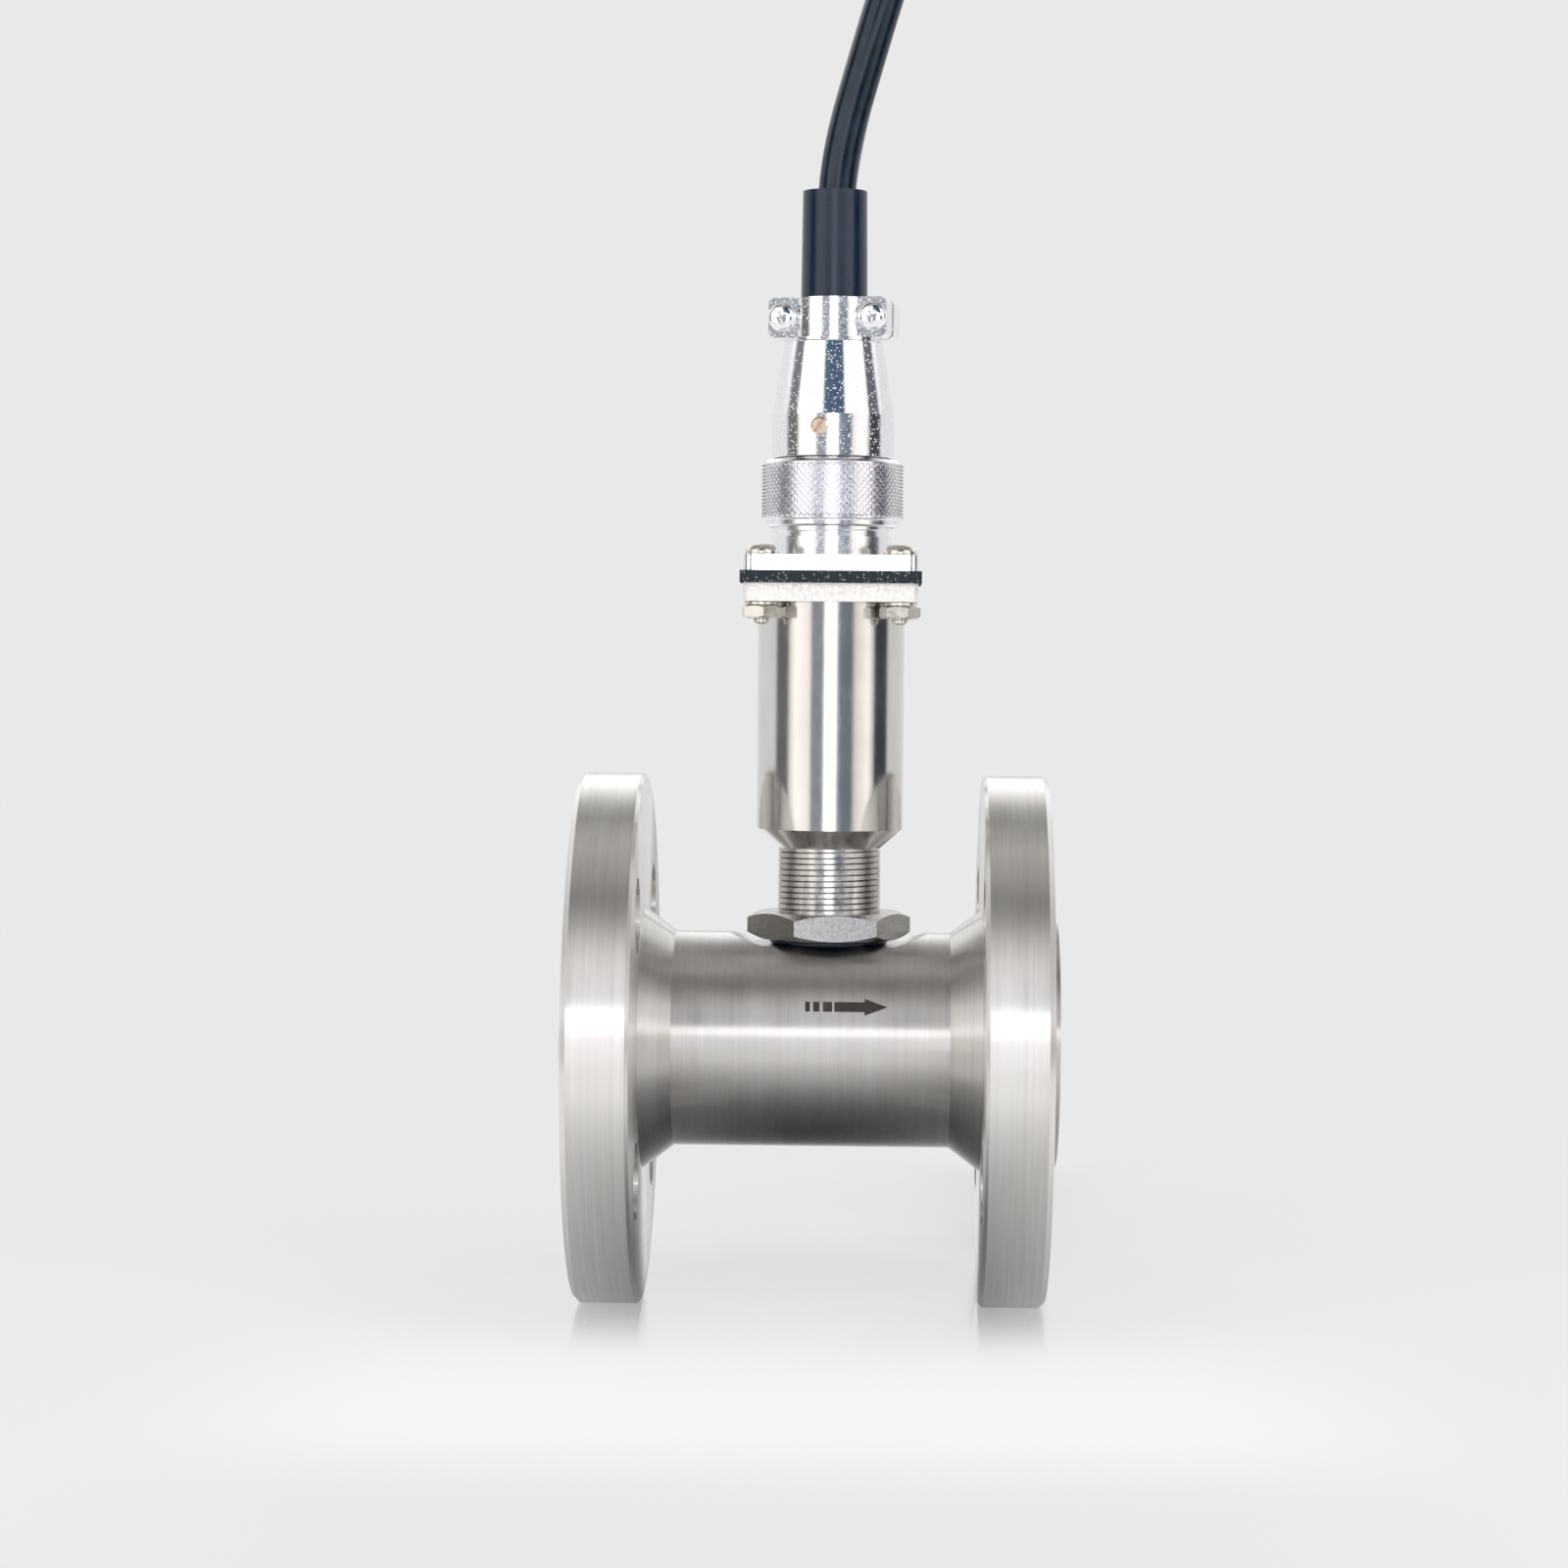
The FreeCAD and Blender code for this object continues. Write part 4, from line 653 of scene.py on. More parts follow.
def new_piece(name, shape, *finishes, sharp_above=None):
    """Smooth object from a bmesh, in its finishes; edges above an angle in degrees stay sharp."""
    mesh = bpy.data.meshes.new(name)
    bmesh.ops.recalc_face_normals(shape, faces=shape.faces)
    shape.to_mesh(mesh)
    shape.free()
    mesh.shade_smooth()
    if sharp_above is not None:
        mesh.set_sharp_from_angle(angle=math.radians(sharp_above))
    piece = bpy.data.objects.new(name, mesh)
    bpy.context.scene.collection.objects.link(piece)
    return dress(piece, *finishes)


def fit(piece, body, slot, *nodes):
    """Makes a piece ride on a body, in place of the nodes that it stands for; the slot is not used."""
    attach(piece, body)
    if nodes:
        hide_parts(*nodes)
    return piece


def weld(shape):
    """Joins vertices that lie on each other."""
    bmesh.ops.remove_doubles(shape, verts=shape.verts, dist=1e-7)


def strip_faces(shape, rows, closed=True):
    """Quads between neighbouring rows of vertices."""
    faces = []
    for lower, upper in zip(rows, rows[1:]):
        count = len(lower)
        for index in range(count if closed else count - 1):
            after = (index + 1) % count
            faces.append(shape.faces.new((lower[index], lower[after], upper[after], upper[index])))
    return faces


def close_ends(shape, rows):
    """Faces over the first and the last row."""
    return [shape.faces.new(rows[0][::-1]), shape.faces.new(rows[-1])]


def lathe(shape, profile, centre=(0, 0, 0), steps=96):
    """Turns a profile of (radius, height) pairs about a vertical line."""
    rows = []
    for radius, height in profile:
        spots = [polar(radius, FULL_TURN * step / steps, height) for step in range(steps)]
        rows.append([shape.verts.new(spot + Vector(centre)) for spot in spots])
    strip_faces(shape, rows)
    return rows


def add_copies(shape, source, places):
    """Adds one copy of a source bmesh at each place, and frees the source."""
    mesh = bpy.data.meshes.new("copy")
    weld(source)
    source.to_mesh(mesh)
    source.free()
    for place in places:
        known = len(shape.verts)
        shape.from_mesh(mesh)
        shape.verts.ensure_lookup_table()
        bmesh.ops.transform(shape, matrix=place, verts=shape.verts[known:])
    bpy.data.meshes.remove(mesh)


def hex_nut(across, bore, height, steps=72):
    """Hexagon nut with its corners chamfered above and below, standing on its origin."""
    shape = bmesh.new()
    flat, chamfer = across / 2, 0.0003
    round_face, slope = flat * 0.97, 0.55
    sixth = FULL_TURN / 6
    # From the bore out to the hexagon, as (radius, height); the hexagon has no one radius.
    section = [(bore, chamfer), (bore + chamfer, 0.0), (round_face, 0.0), (None, 0.0)]
    rows = []
    for upper, half in ((False, section), (True, section[::-1])):
        for reach, rise in half:
            row = []
            for step in range(steps):
                angle = FULL_TURN * step / steps
                from_flat = (angle + sixth / 2) % sixth - sixth / 2
                radius = reach or flat / math.cos(from_flat)
                up = rise + max(0.0, radius - round_face) * slope
                row.append(shape.verts.new(polar(radius, angle, height - up if upper else up)))
            rows.append(row)
    strip_faces(shape, rows + [rows[0]])
    return shape


def split_washer(inner, outer, height, steps=60):
    """Spring washer: a square-cut coil of one turn that stops short of closing."""
    shape = bmesh.new()
    rows = []
    gap = math.radians(9)
    rise = height * 0.22
    bevel = 0.00008
    for step in range(steps + 1):
        share = step / steps
        angle = gap / 2 + (FULL_TURN - gap) * share
        low = rise * share
        high = height - rise * (1 - share)
        section = [
            (inner, low), (outer - bevel, low), (outer, low + bevel),
            (outer, high - bevel), (outer - bevel, high), (inner, high),
        ]
        rows.append([shape.verts.new(polar(radius, angle, up)) for radius, up in section])
    strip_faces(shape, rows)
    close_ends(shape, rows)
    return shape


def recessed(shape, bars, depth, top):
    """The shape with tapered bars sunk into its top: (length, width, turn) for each bar."""
    weld(shape)
    piece = new_piece("recessed", shape, "nickel_plating")
    foot_share, overshoot = 0.62, 0.0005
    for length, width, turn in bars:
        bar = bmesh.new()
        for vertex in bmesh.ops.create_cube(bar, size=1.0)["verts"]:
            x, y, z = vertex.co
            taper, height = (1.0, top + overshoot) if z > 0 else (foot_share, top - depth)
            vertex.co = Vector((x * length * taper, y * width * taper, height))
        bmesh.ops.rotate(bar, verts=bar.verts, matrix=Matrix.Rotation(turn, 3, "Z"))
        cut_away(piece, new_piece("bar", bar, "nickel_plating"))
    shape = bmesh.new()
    shape.from_mesh(piece.data)
    bpy.data.objects.remove(piece)
    return shape


def pan_screw(radius, height, shank, length):
    """Pan-head screw with a cross recess, its head standing on its origin."""
    shape = bmesh.new()
    crown = [
        (0.0, 1.0), (0.30, 0.99), (0.52, 0.94), (0.70, 0.85), (0.84, 0.71), (0.94, 0.53),
        (0.99, 0.34), (1.0, 0.12), (0.975, 0.0),
    ]
    tip = 0.00025
    profile = [(radius * across, height * up) for across, up in crown]
    profile += [(shank, 0.0), (shank, tip - length), (shank * 0.8, -length), (0.0, -length)]
    lathe(shape, profile, steps=48)
    cross = radius * 1.15
    bars = [(cross, radius * 0.24, math.radians(turn)) for turn in (20, 110)]
    return recessed(shape, bars, height * 0.5, height)


def thread(shape, root, crest, pitch, low, high, centre, steps=120):
    """Helical ridge with a broad crest between two heights, run out to nothing at both ends."""
    count = int((high - low) / pitch * steps)
    rows = []
    for step in range(count + 1):
        middle = low + pitch * step / steps
        run_out = min(1.0, step / (steps / 2), (count - step) / (steps / 2))
        top = root + (crest - root) * run_out
        row = []
        for radius, part in ((root, -0.5), (top, -0.36), (top, 0.36), (root, 0.5)):
            height = min(max(middle + part * pitch, low), high)
            spot = polar(radius, FULL_TURN * step / steps, height)
            row.append(shape.verts.new(spot + Vector(centre)))
        rows.append(row)
    strip_faces(shape, rows, closed=False)


def tube(shape, path, radius, sides=24, material=0):
    """Round tube along a line of points, with its frame carried along without twist."""
    points = [Vector(point) for point in path]
    side = (points[1] - points[0]).normalized().orthogonal().normalized()
    rows = []
    for index, point in enumerate(points):
        before = points[max(index - 1, 0)]
        after = points[min(index + 1, len(points) - 1)]
        heading = (after - before).normalized()
        side = (side - heading * side.dot(heading)).normalized()
        other = heading.cross(side)
        row = []
        for step in range(sides):
            angle = FULL_TURN * step / sides
            out = math.cos(angle) * side + math.sin(angle) * other
            row.append(shape.verts.new(point + radius * out))
        rows.append(row)
    for face in strip_faces(shape, rows) + close_ends(shape, rows):
        face.material_index = material


def smooth_line(points, resolution=12):
    """Points along a quadratic NURBS line that the given points control."""
    curve = bpy.data.curves.new("line", "CURVE")
    curve.dimensions = "3D"
    spline = curve.splines.new("NURBS")
    spline.points.add(len(points) - 1)
    for control, point in zip(spline.points, points):
        control.co = (*point, 1.0)
    spline.order_u = 3
    spline.use_endpoint_u = True
    spline.resolution_u = resolution
    holder = bpy.data.objects.new("line", curve)
    bpy.context.scene.collection.objects.link(holder)
    bpy.context.view_layer.update()
    mesh = bpy.data.meshes.new_from_object(holder)
    line = [vertex.co.copy() for vertex in mesh.vertices]
    bpy.data.meshes.remove(mesh)
    bpy.data.objects.remove(holder)
    bpy.data.curves.remove(curve)
    return line


def cut_away(piece, cutter):
    """Takes the cutter's shape out of a piece for good."""
    modifier = piece.modifiers.new("cut", "BOOLEAN")
    modifier.operation = "DIFFERENCE"
    modifier.solver = "EXACT"
    modifier.object = cutter
    bpy.context.view_layer.update()
    result = bpy.data.meshes.new_from_object(piece.evaluated_get(bpy.context.evaluated_depsgraph_get()))
    piece.modifiers.clear()
    worn = piece.data
    piece.data = result
    bpy.data.meshes.remove(worn)
    bpy.data.objects.remove(cutter)
    return piece


# Cable

def hank_frame():
    """Place and turn of the hank: along its length, up, and across its two layers."""
    loop = sizes().hank_radius + sizes().cable_diameter / 2
    origin = Vector((HANK_START[0], HANK_START[1] + loop, FLOOR_Z + loop))
    return Matrix.Translation(origin) @ Matrix.Rotation(HANK_TURN, 4, "Z")


def hank_reach():
    """Distance between the middles of the hank's two end loops."""
    return HANK_LENGTH - 2 * (sizes().hank_radius + sizes().cable_diameter / 2)


def hank_points():
    """Cable's line through the hank: two end loops drawn together at the tie."""
    radius, half = sizes().hank_radius, sizes().cable_diameter / 2
    reach = hank_reach()
    waist = reach / 2
    waist_radius = (waist ** 2 + half ** 2 - radius ** 2) / (2 * (radius - half))
    rise = half + waist_radius
    lean = math.degrees(math.atan2(rise, waist))
    first, second = half, 3 * half
    # The cable comes over from the back into the far loop.
    spots = [(0.0037, 0.0663, 0.0232), (0.0034, 0.0748, 0.0225), (0.0033, 0.0822, 0.0191)]

    def bend(middle, height, wide, start, stop, steps, layers):
        """Points round an arc in degrees, moving over from one layer to the other."""
        turn = (stop - start) / steps
        corner = wide / math.cos(math.radians(abs(turn) / 2))
        for step in range(steps):
            share = max(0.0, 1.3 * (step + 0.5) / steps - 0.3)
            spot = polar(corner, math.radians(start + turn * (step + 0.5)))
            across = layers[0] + (layers[1] - layers[0]) * share
            spots.append((across, middle + spot.x, height + spot.y))

    bend(reach, 0.0, radius, 50, lean - 180, 8, (first, first))
    bend(waist, -rise, waist_radius, lean, 180 - lean, 4, (first, first))
    bend(0.0, 0.0, radius, 360 - lean, lean, 11, (first, second))
    bend(waist, rise, waist_radius, 180 + lean, 360 - lean, 4, (second, second))
    bend(reach, 0.0, radius, 180 - lean, lean - 180, 11, (second, second))
    bend(waist, -rise, waist_radius, lean, 180 - lean, 4, (second, second))
    bend(0.0, 0.0, radius, 360 - lean, 270, 2, (second, second))
    spots.append((second, 0.0, -radius))
    place = hank_frame()
    return [tuple(place @ Vector(spot)) for spot in spots]


class FLOWMETER_OT_cable(bpy.types.Operator):
    """Signal cable with its hank, tie and bare ends"""

    bl_idname = "flowmeter.cable"
    bl_label = "Signal Cable"

    def execute(self, context):
        diameter = sizes().cable_diameter
        line = smooth_line(CABLE_ROUTE + hank_points())
        shape = bmesh.new()
        tube(shape, line, diameter / 2, 28)
        cable = new_piece("signal_cable", shape, "cable_jacket")
        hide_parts("cable", "cable_hank")

        leads = self.leads()
        tie = self.tie()
        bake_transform(cable)
        return {"FINISHED"}

    def leads(self):
        """Three insulated cores with stripped strands, fanned on the floor."""
        place = hank_frame()
        layer, height = 1.5 * sizes().cable_diameter, -sizes().hank_radius
        core_radius, strand_radius, bared = 0.00092, 0.00045, 0.0042
        start_along, bend_along, end_along = 0.0008, -0.0060, -0.0115
        end_drop, tip_drop = 0.0022, 0.0025
        shape = bmesh.new()
        # Each core's place across and up in the jacket, and how far it fans out.
        spread = ((-0.0011, 0.0010, -0.0022), (0.0011, 0.0010, 0.0020), (0.0, -0.0012, 0.0002))
        for number, (across, rise, fan) in enumerate(spread):
            start = Vector((layer + across, start_along, height + rise))
            bend = Vector((layer + across, bend_along, height + rise * 0.6))
            end = Vector((layer + across + fan, end_along, height - end_drop))
            tip = end + (end - bend).normalized() * bared
            tip.z = height - tip_drop
            core = [tuple(place @ spot) for spot in (start, bend, end)]
            tube(shape, smooth_line(core), core_radius, 16, number)
            strand = [tuple(place @ spot) for spot in (end - (end - bend) * 0.1, end, tip)]
            tube(shape, strand, strand_radius, 12, 3)
        insulation = ("red_insulation", "white_insulation", "blue_insulation")
        leads = new_piece("bare_leads", shape, *insulation, "copper_strand")
        return fit(leads, "meter", "leads", "lead_ends")

    def tie(self):
        """Nylon tie around the hank's middle, with its head on top."""
        place = hank_frame()
        middle = hank_reach() / 2
        bundle, top = 2 * sizes().cable_diameter, sizes().cable_diameter
        corner = sizes().cable_diameter / 2
        half_width, thick, bevel, steps = 0.0023, 0.0007, 0.0005, 8
        corners = (
            (bundle - corner, top - corner, 0), (corner, top - corner, 90),
            (corner, corner - top, 180), (bundle - corner, corner - top, 270),
        )
        shape = bmesh.new()
        rows = []
        for share, swell in ((-1.0, thick / 2), (-0.85, thick), (0.85, thick), (1.0, thick / 2)):
            row = []
            for across, up, start in corners:
                for step in range(steps + 1):
                    out = polar(corner + swell, math.radians(start + 90 * step / steps))
                    spot = Vector((across + out.x, middle + half_width * share, up + out.y))
                    row.append(shape.verts.new(place @ spot))
            rows.append(row)
        strip_faces(shape, rows)
        head = bmesh.ops.create_cube(shape, size=1.0)["verts"]
        head_size = Matrix.Diagonal((0.0042, 0.0052, 0.0030))
        head_place = Vector((bundle * 0.55, middle, top + 0.0016))
        for vertex in head:
            vertex.co = place @ (head_size @ vertex.co + head_place)
        edges = {edge for vertex in head for edge in vertex.link_edges}
        bmesh.ops.bevel(shape, geom=list(edges), offset=bevel, segments=3, affect="EDGES")
        tie = new_piece("cable_tie", shape, "tie_nylon")
        return fit(tie, "meter", "tie", "hank_tie")


# Threads

class FLOWMETER_OT_threads(bpy.types.Operator):
    """Threads of the housing and of the socket, and the seal under the nut"""

    bl_idname = "flowmeter.threads"
    bl_label = "Threads"

    def execute(self, context):
        values = sizes()
        nut_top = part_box("lock_nut")[1].z
        stub = self.helix(
            "housing_thread", "thread_steel", values.stub_crest, values.stub_pitch, depth=0.00042,
            low=nut_top - 0.0006, high=nut_top + 0.0119)
        fit(stub, "meter", "housing_metal")
        self.seal()
        ring_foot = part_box("coupling_ring")[0].z
        neck = self.helix(
            "socket_thread", "satin_plating", values.neck_crest, values.neck_pitch, depth=0.0005,
            low=ring_foot - 0.0012, high=ring_foot + 0.0065)
        fit(neck, "meter", "socket_metal")
        return {"FINISHED"}

    def helix(self, name, finish, diameter, pitch, depth, low, high):
        """Thread of an outside diameter, a pitch and a depth, between two heights."""
        shape = bmesh.new()
        thread(shape, diameter / 2 - depth, diameter / 2, pitch, low, high, STACK)
        return new_piece(name, shape, finish, sharp_above=28)

    def seal(self):
        """Rubber ring that the nut squeezes out a little."""
        low, high = (corner.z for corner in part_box("seal_ring"))
        bore, lip = 0.0088, 0.0101
        profile = [
            (bore, low), (lip, low), (lip + 0.00045, low + 0.0003), (lip + 0.00052, low + 0.0006),
            (lip + 0.0003, high), (bore, high), (bore, low),
        ]
        shape = bmesh.new()
        lathe(shape, profile, STACK)
        weld(shape)
        seal = new_piece("nut_seal", shape, "boot_rubber", sharp_above=50)
        fit(seal, "meter", SLOTS["seal_ring"], "seal_ring")


# Coupling ring

class FLOWMETER_OT_ring(bpy.types.Operator):
    """Coupling ring with its diamond knurl"""

    bl_idname = "flowmeter.ring"
    bl_label = "Coupling Ring"

    def execute(self, context):
        low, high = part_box("coupling_ring")
        base, top = low.z, high.z
        outer = (high.x - low.x) / 2
        groove, collar, bore = outer - sizes().knurl_depth, outer - 0.0006, 0.01095
        start, stop = base + 0.0016, top - 0.0007
        steps, lines = 2 * sizes().knurl_columns, 2 * sizes().knurl_rows
        rise, turn = (stop - start) / lines, FULL_TURN / steps
        shape = bmesh.new()

        below = [
            (bore, base), (collar - 0.0004, base), (collar, base + 0.0003),
            (collar, base + 0.0010), (groove - 0.0002, base + 0.0012), (groove, base + 0.0014),
        ]
        above = [
            (groove, top - 0.0005), (outer - 0.0007, top), (bore - 0.00005, top),
            (bore - 0.0001, top - 0.0008), (bore, top - 0.0030), (bore, base),
        ]

        def spot(radius, line, step):
            return shape.verts.new(polar(radius, turn * step, start + rise * line) + STACK)

        def raised(*corners, flat=0.52):
            """Blunt pyramid over the corners of one diamond, given as (line, step)."""
            line, step = (sum(values) / len(corners) for values in zip(*corners))
            feet = [spot(groove, *corner) for corner in corners]
            tops = [spot(outer, line + (up - line) * flat, step + (on - step) * flat) for up, on in corners]
            shape.faces.new(tops)
            strip_faces(shape, [feet, tops])

        for line in range(lines + 1):
            for step in range(line % 2, steps, 2):
                if line == 0:
                    raised((0, step - 1), (0, step + 1), (1, step))
                elif line == lines:
                    raised((lines, step + 1), (lines, step - 1), (lines - 1, step))
                else:
                    raised((line, step - 1), (line - 1, step), (line, step + 1), (line + 1, step))
        under = lathe(shape, below, STACK, steps)
        over = lathe(shape, above, STACK, steps)
        for edge_row, line in ((under[-1], 0), (over[0], lines)):
            strip_faces(shape, [edge_row, [spot(groove, line, step) for step in range(steps)]])
        weld(shape)
        ring = new_piece("knurled_ring", shape, "satin_plating", sharp_above=20)
        fit(ring, "ring", "ring_metal", "coupling_ring")
        return {"FINISHED"}


# Fasteners

class FLOWMETER_OT_fasteners(bpy.types.Operator):
    """Screws, spring washers and nuts of the plates, clamp screws and set screw"""

    bl_idname = "flowmeter.fasteners"
    bl_label = "Fasteners"

    def execute(self, context):
        self.plate_fasteners()
        self.clamp_screws()
        self.set_screw()
        return {"FINISHED"}

    def plate_fasteners(self):
        low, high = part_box("plate_screws")
        nut_low, nut_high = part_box("plate_nuts")
        washer_low, washer_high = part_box("lock_washers")
        head_height, spacing = 0.0019, 0.0244
        head = (high.y - low.y - spacing) / 2
        seat = high.z - head_height
        corners = [
            Vector((x, y, 0))
            for y in (low.y + head, high.y - head) for x in (low.x + head, high.x - head)
        ]

        def places(height):
            """Each corner at a height, every fastener turned its own way."""
            return [
                Matrix.Translation(corner + Vector((0, 0, height)))
                @ Matrix.Rotation(math.radians(turn), 4, "Z")
                for corner, turn in zip(corners, (8, 22, 35, 50))
            ]

        screws = bmesh.new()
        add_copies(screws, pan_screw(head, head_height, shank=0.00122, length=seat - low.z), places(seat))
        for corner in corners:
            thread(
                screws, root=0.00118, crest=0.00142, pitch=0.0005,
                low=low.z + 0.0002, high=nut_low.z + 0.0006, centre=corner, steps=36)
        self.keep("pan_screws", screws, "plate_screws", 35)

        washers = bmesh.new()
        washer = split_washer(inner=0.0016, outer=0.0029, height=washer_high.z - washer_low.z)
        add_copies(washers, washer, places(washer_low.z))
        self.keep("split_washers", washers, "lock_washers", 35)

        nuts = bmesh.new()
        nut = hex_nut(across=0.00635, bore=0.0014, height=nut_high.z - nut_low.z)
        add_copies(nuts, nut, places(nut_low.z))
        self.keep("hex_nuts", nuts, "plate_nuts", 20)

    def clamp_screws(self):
        """Two screws across the clamp's ears, turned with the plug."""
        screws = bmesh.new()
        half_spacing, ear_face = 0.0082, -0.0056
        places = [self.plug_place("clamp_screws", side * half_spacing, ear_face) for side in (-1, 1)]
        add_copies(screws, pan_screw(radius=0.0025, height=0.0013, shank=0.0013, length=0.0112), places)
        self.keep("clamp_pan_screws", screws, "clamp_screws", 35, "plug", "bright_plating")

    def set_screw(self):
        """Slotted screw in the backshell's side."""
        low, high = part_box("set_screw")
        radius, length = (high.z - low.z) / 2, 0.0024
        profile = [
            (0.0, length), (radius - 0.0003, length), (radius, length - 0.0002),
            (radius, 0.0), (0.0, 0.0),
        ]
        shape = bmesh.new()
        lathe(shape, profile, steps=48)
        slot_length, slot_width, slot_turn, foot = 0.005, 0.0006, math.radians(52), -0.0088
        slotted = recessed(shape, [(slot_length, slot_width, slot_turn)], depth=0.0011, top=length)
        screw = bmesh.new()
        add_copies(screw, slotted, [self.plug_place("set_screw", 0, foot)])
        self.keep("slotted_screw", screw, "set_screw", 30, "plug", "bare_brass")

    def plug_place(self, node, across, out):
        """Place that faces out of the plug's front at a node's height."""
        low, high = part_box(node)
        middle = Matrix.Translation(STACK + Vector((0, 0, (low.z + high.z) / 2)))
        turn = Matrix.Rotation(math.radians(-12), 4, "Z")
        outwards = Matrix.Rotation(math.radians(90), 4, "X")
        return middle @ turn @ Matrix.Translation((across, out, 0)) @ outwards

    def keep(self, name, shape, node, angle, body="meter", finish="nickel_plating"):
        piece = new_piece(name, shape, finish, sharp_above=angle)
        fit(piece, body, SLOTS[node], node)


# Etched mark

class FLOWMETER_OT_flow_arrow(bpy.types.Operator):
    """Etched arrow with three bars that shows the flow direction"""

    bl_idname = "flowmeter.flow_arrow"
    bl_label = "Flow Arrow"

    def execute(self, context):
        pipe = 0.0192
        radius = pipe + sizes().etching_rise
        middle = 0.00757 / pipe
        start_x, drawn_length = -0.00095, 0.0144
        unit = sizes().arrow_length / drawn_length
        shape = bmesh.new()

        def patch(below, above, steps=6):
            """Strip that follows the pipe's curve between two lines of (along, up) points."""
            rows = []
            for step in range(steps + 1):
                share = step / steps
                row = []
                for start, end in zip(below, above):
                    along, up = (a + (b - a) * share for a, b in zip(start, end))
                    angle = middle + up * unit / pipe
                    spot = (start_x + along * unit, -radius * math.cos(angle), radius * math.sin(angle))
                    row.append(shape.verts.new(spot))
                rows.append(row)
            strip_faces(shape, rows, closed=False)

        half, wide, neck, tip = 0.0009, 0.00155, 0.0104, drawn_length
        for start, end in ((0.0, 0.0008), (0.0014, 0.0025), (0.0031, 0.0047), (0.0051, neck)):
            patch([(start, -half), (end, -half)], [(start, half), (end, half)])
        patch([(neck, -wide), (neck, -wide)], [(neck, 0.0), (tip, 0.0)])
        patch([(neck, 0.0), (tip, 0.0)], [(neck, wide), (neck, wide)])
        weld(shape)
        fit(new_piece("flow_arrow", shape, "etched_film"), "meter", "insulator")
        return {"FINISHED"}


# Finishes on the solid model's own nodes

NODE_FINISHES = {
    "turned_steel": ("meter_body", "inlet_flange", "outlet_flange"),
    "bright_steel": (
        "sensor_housing", "inlet_guide", "outlet_guide", "inlet_retaining_ring",
        "outlet_retaining_ring", "rotor_shaft", "snap_ring",
    ),
    "nut_steel": ("lock_nut",),
    "rotor_steel": ("rotor",),
    "blasted_plate": ("mounting_plate",),
    "bright_plating": ("backshell", "cable_clamp", "clamp_saddle"),
    "satin_plating": ("socket_shell", "plug_shell", "coupling_ring"),
    "nickel_plating": ("plate_screws", "lock_washers", "plate_nuts", "clamp_screws"),
    "bare_brass": ("set_screw", "socket_pins", "plug_contacts"),
    "boot_rubber": ("cable_boot", "seal_ring"),
    "gasket_rubber": ("flange_gasket",),
    "cable_jacket": ("cable", "cable_hank"),
    "tie_nylon": ("hank_tie",),
    "red_insulation": ("lead_ends", "coil_leads"),
    "black_insulator": ("socket_insert", "plug_insert", "coil_bobbin"),
    "ceramic": ("inlet_bearing", "outlet_bearing", "inlet_thrust_pad", "outlet_thrust_pad"),
    "magnet_metal": ("pickup_magnet",),
    "soft_iron": ("pole_piece",),
    "enamelled_copper": ("coil_winding",),
    "circuit_board": ("circuit_board",),
}


class FLOWMETER_OT_finishes(bpy.types.Operator):
    """Finishes of every solid that shows"""

    bl_idname = "flowmeter.finishes"
    bl_label = "Finishes"

    def execute(self, context):
        for finish, names in NODE_FINISHES.items():
            for name in names:
                dress(NODES[name], finish)
        return {"FINISHED"}


# Studio

# Light of the room by the turn to the right of the front, in degrees: near the horizon and above it.
LEVEL_BANDS = (
    (-180, 0.83), (-98, 0.85), (-91, 0.17), (-72, 0.17), (-65, (1.10, 1.06, 1.00)),
    (-56, (1.55, 1.50, 1.44)), (-33, (1.30, 1.23, 1.16)), (-29, (0.32, 0.34, 0.36)),
    (-12, (0.29, 0.32, 0.37)), (-6, (2.6, 2.6, 2.7)), (6, (2.6, 2.6, 2.7)), (12, (0.34, 0.40, 0.46)),
    (17, (0.19, 0.23, 0.28)), (33, (0.16, 0.18, 0.22)), (40, (0.98, 0.93, 0.87)),
    (62, (1.48, 1.40, 1.32)), (70, (0.80, 0.78, 0.76)), (75, (0.05, 0.055, 0.065)),
    (97, (0.06, 0.065, 0.075)), (104, (0.80, 0.80, 0.79)), (180, 0.83),
)
RAISED_BANDS = (
    (-180, 0.90), (-104, 0.88), (-97, (0.14, 0.14, 0.15)), (-76, (0.12, 0.12, 0.13)),
    (-68, (1.12, 1.09, 1.06)), (-23, (1.05, 1.01, 0.98)), (-17, (0.05, 0.09, 0.13)),
    (0, (0.04, 0.07, 0.12)), (21, (0.035, 0.065, 0.11)), (28, (1.05, 1.01, 0.98)),
    (68, (1.12, 1.09, 1.06)), (76, (0.08, 0.09, 0.10)), (97, (0.10, 0.11, 0.12)), (104, 0.88), (180, 0.90),
)
# How the raised bands dim, by the share of the way up to overhead.
DIMMING = ((0.18, 1.65), (0.36, 1.5), (0.47, 1.0), (0.58, 0.45), (0.72, 0.25), (0.85, 0.35))


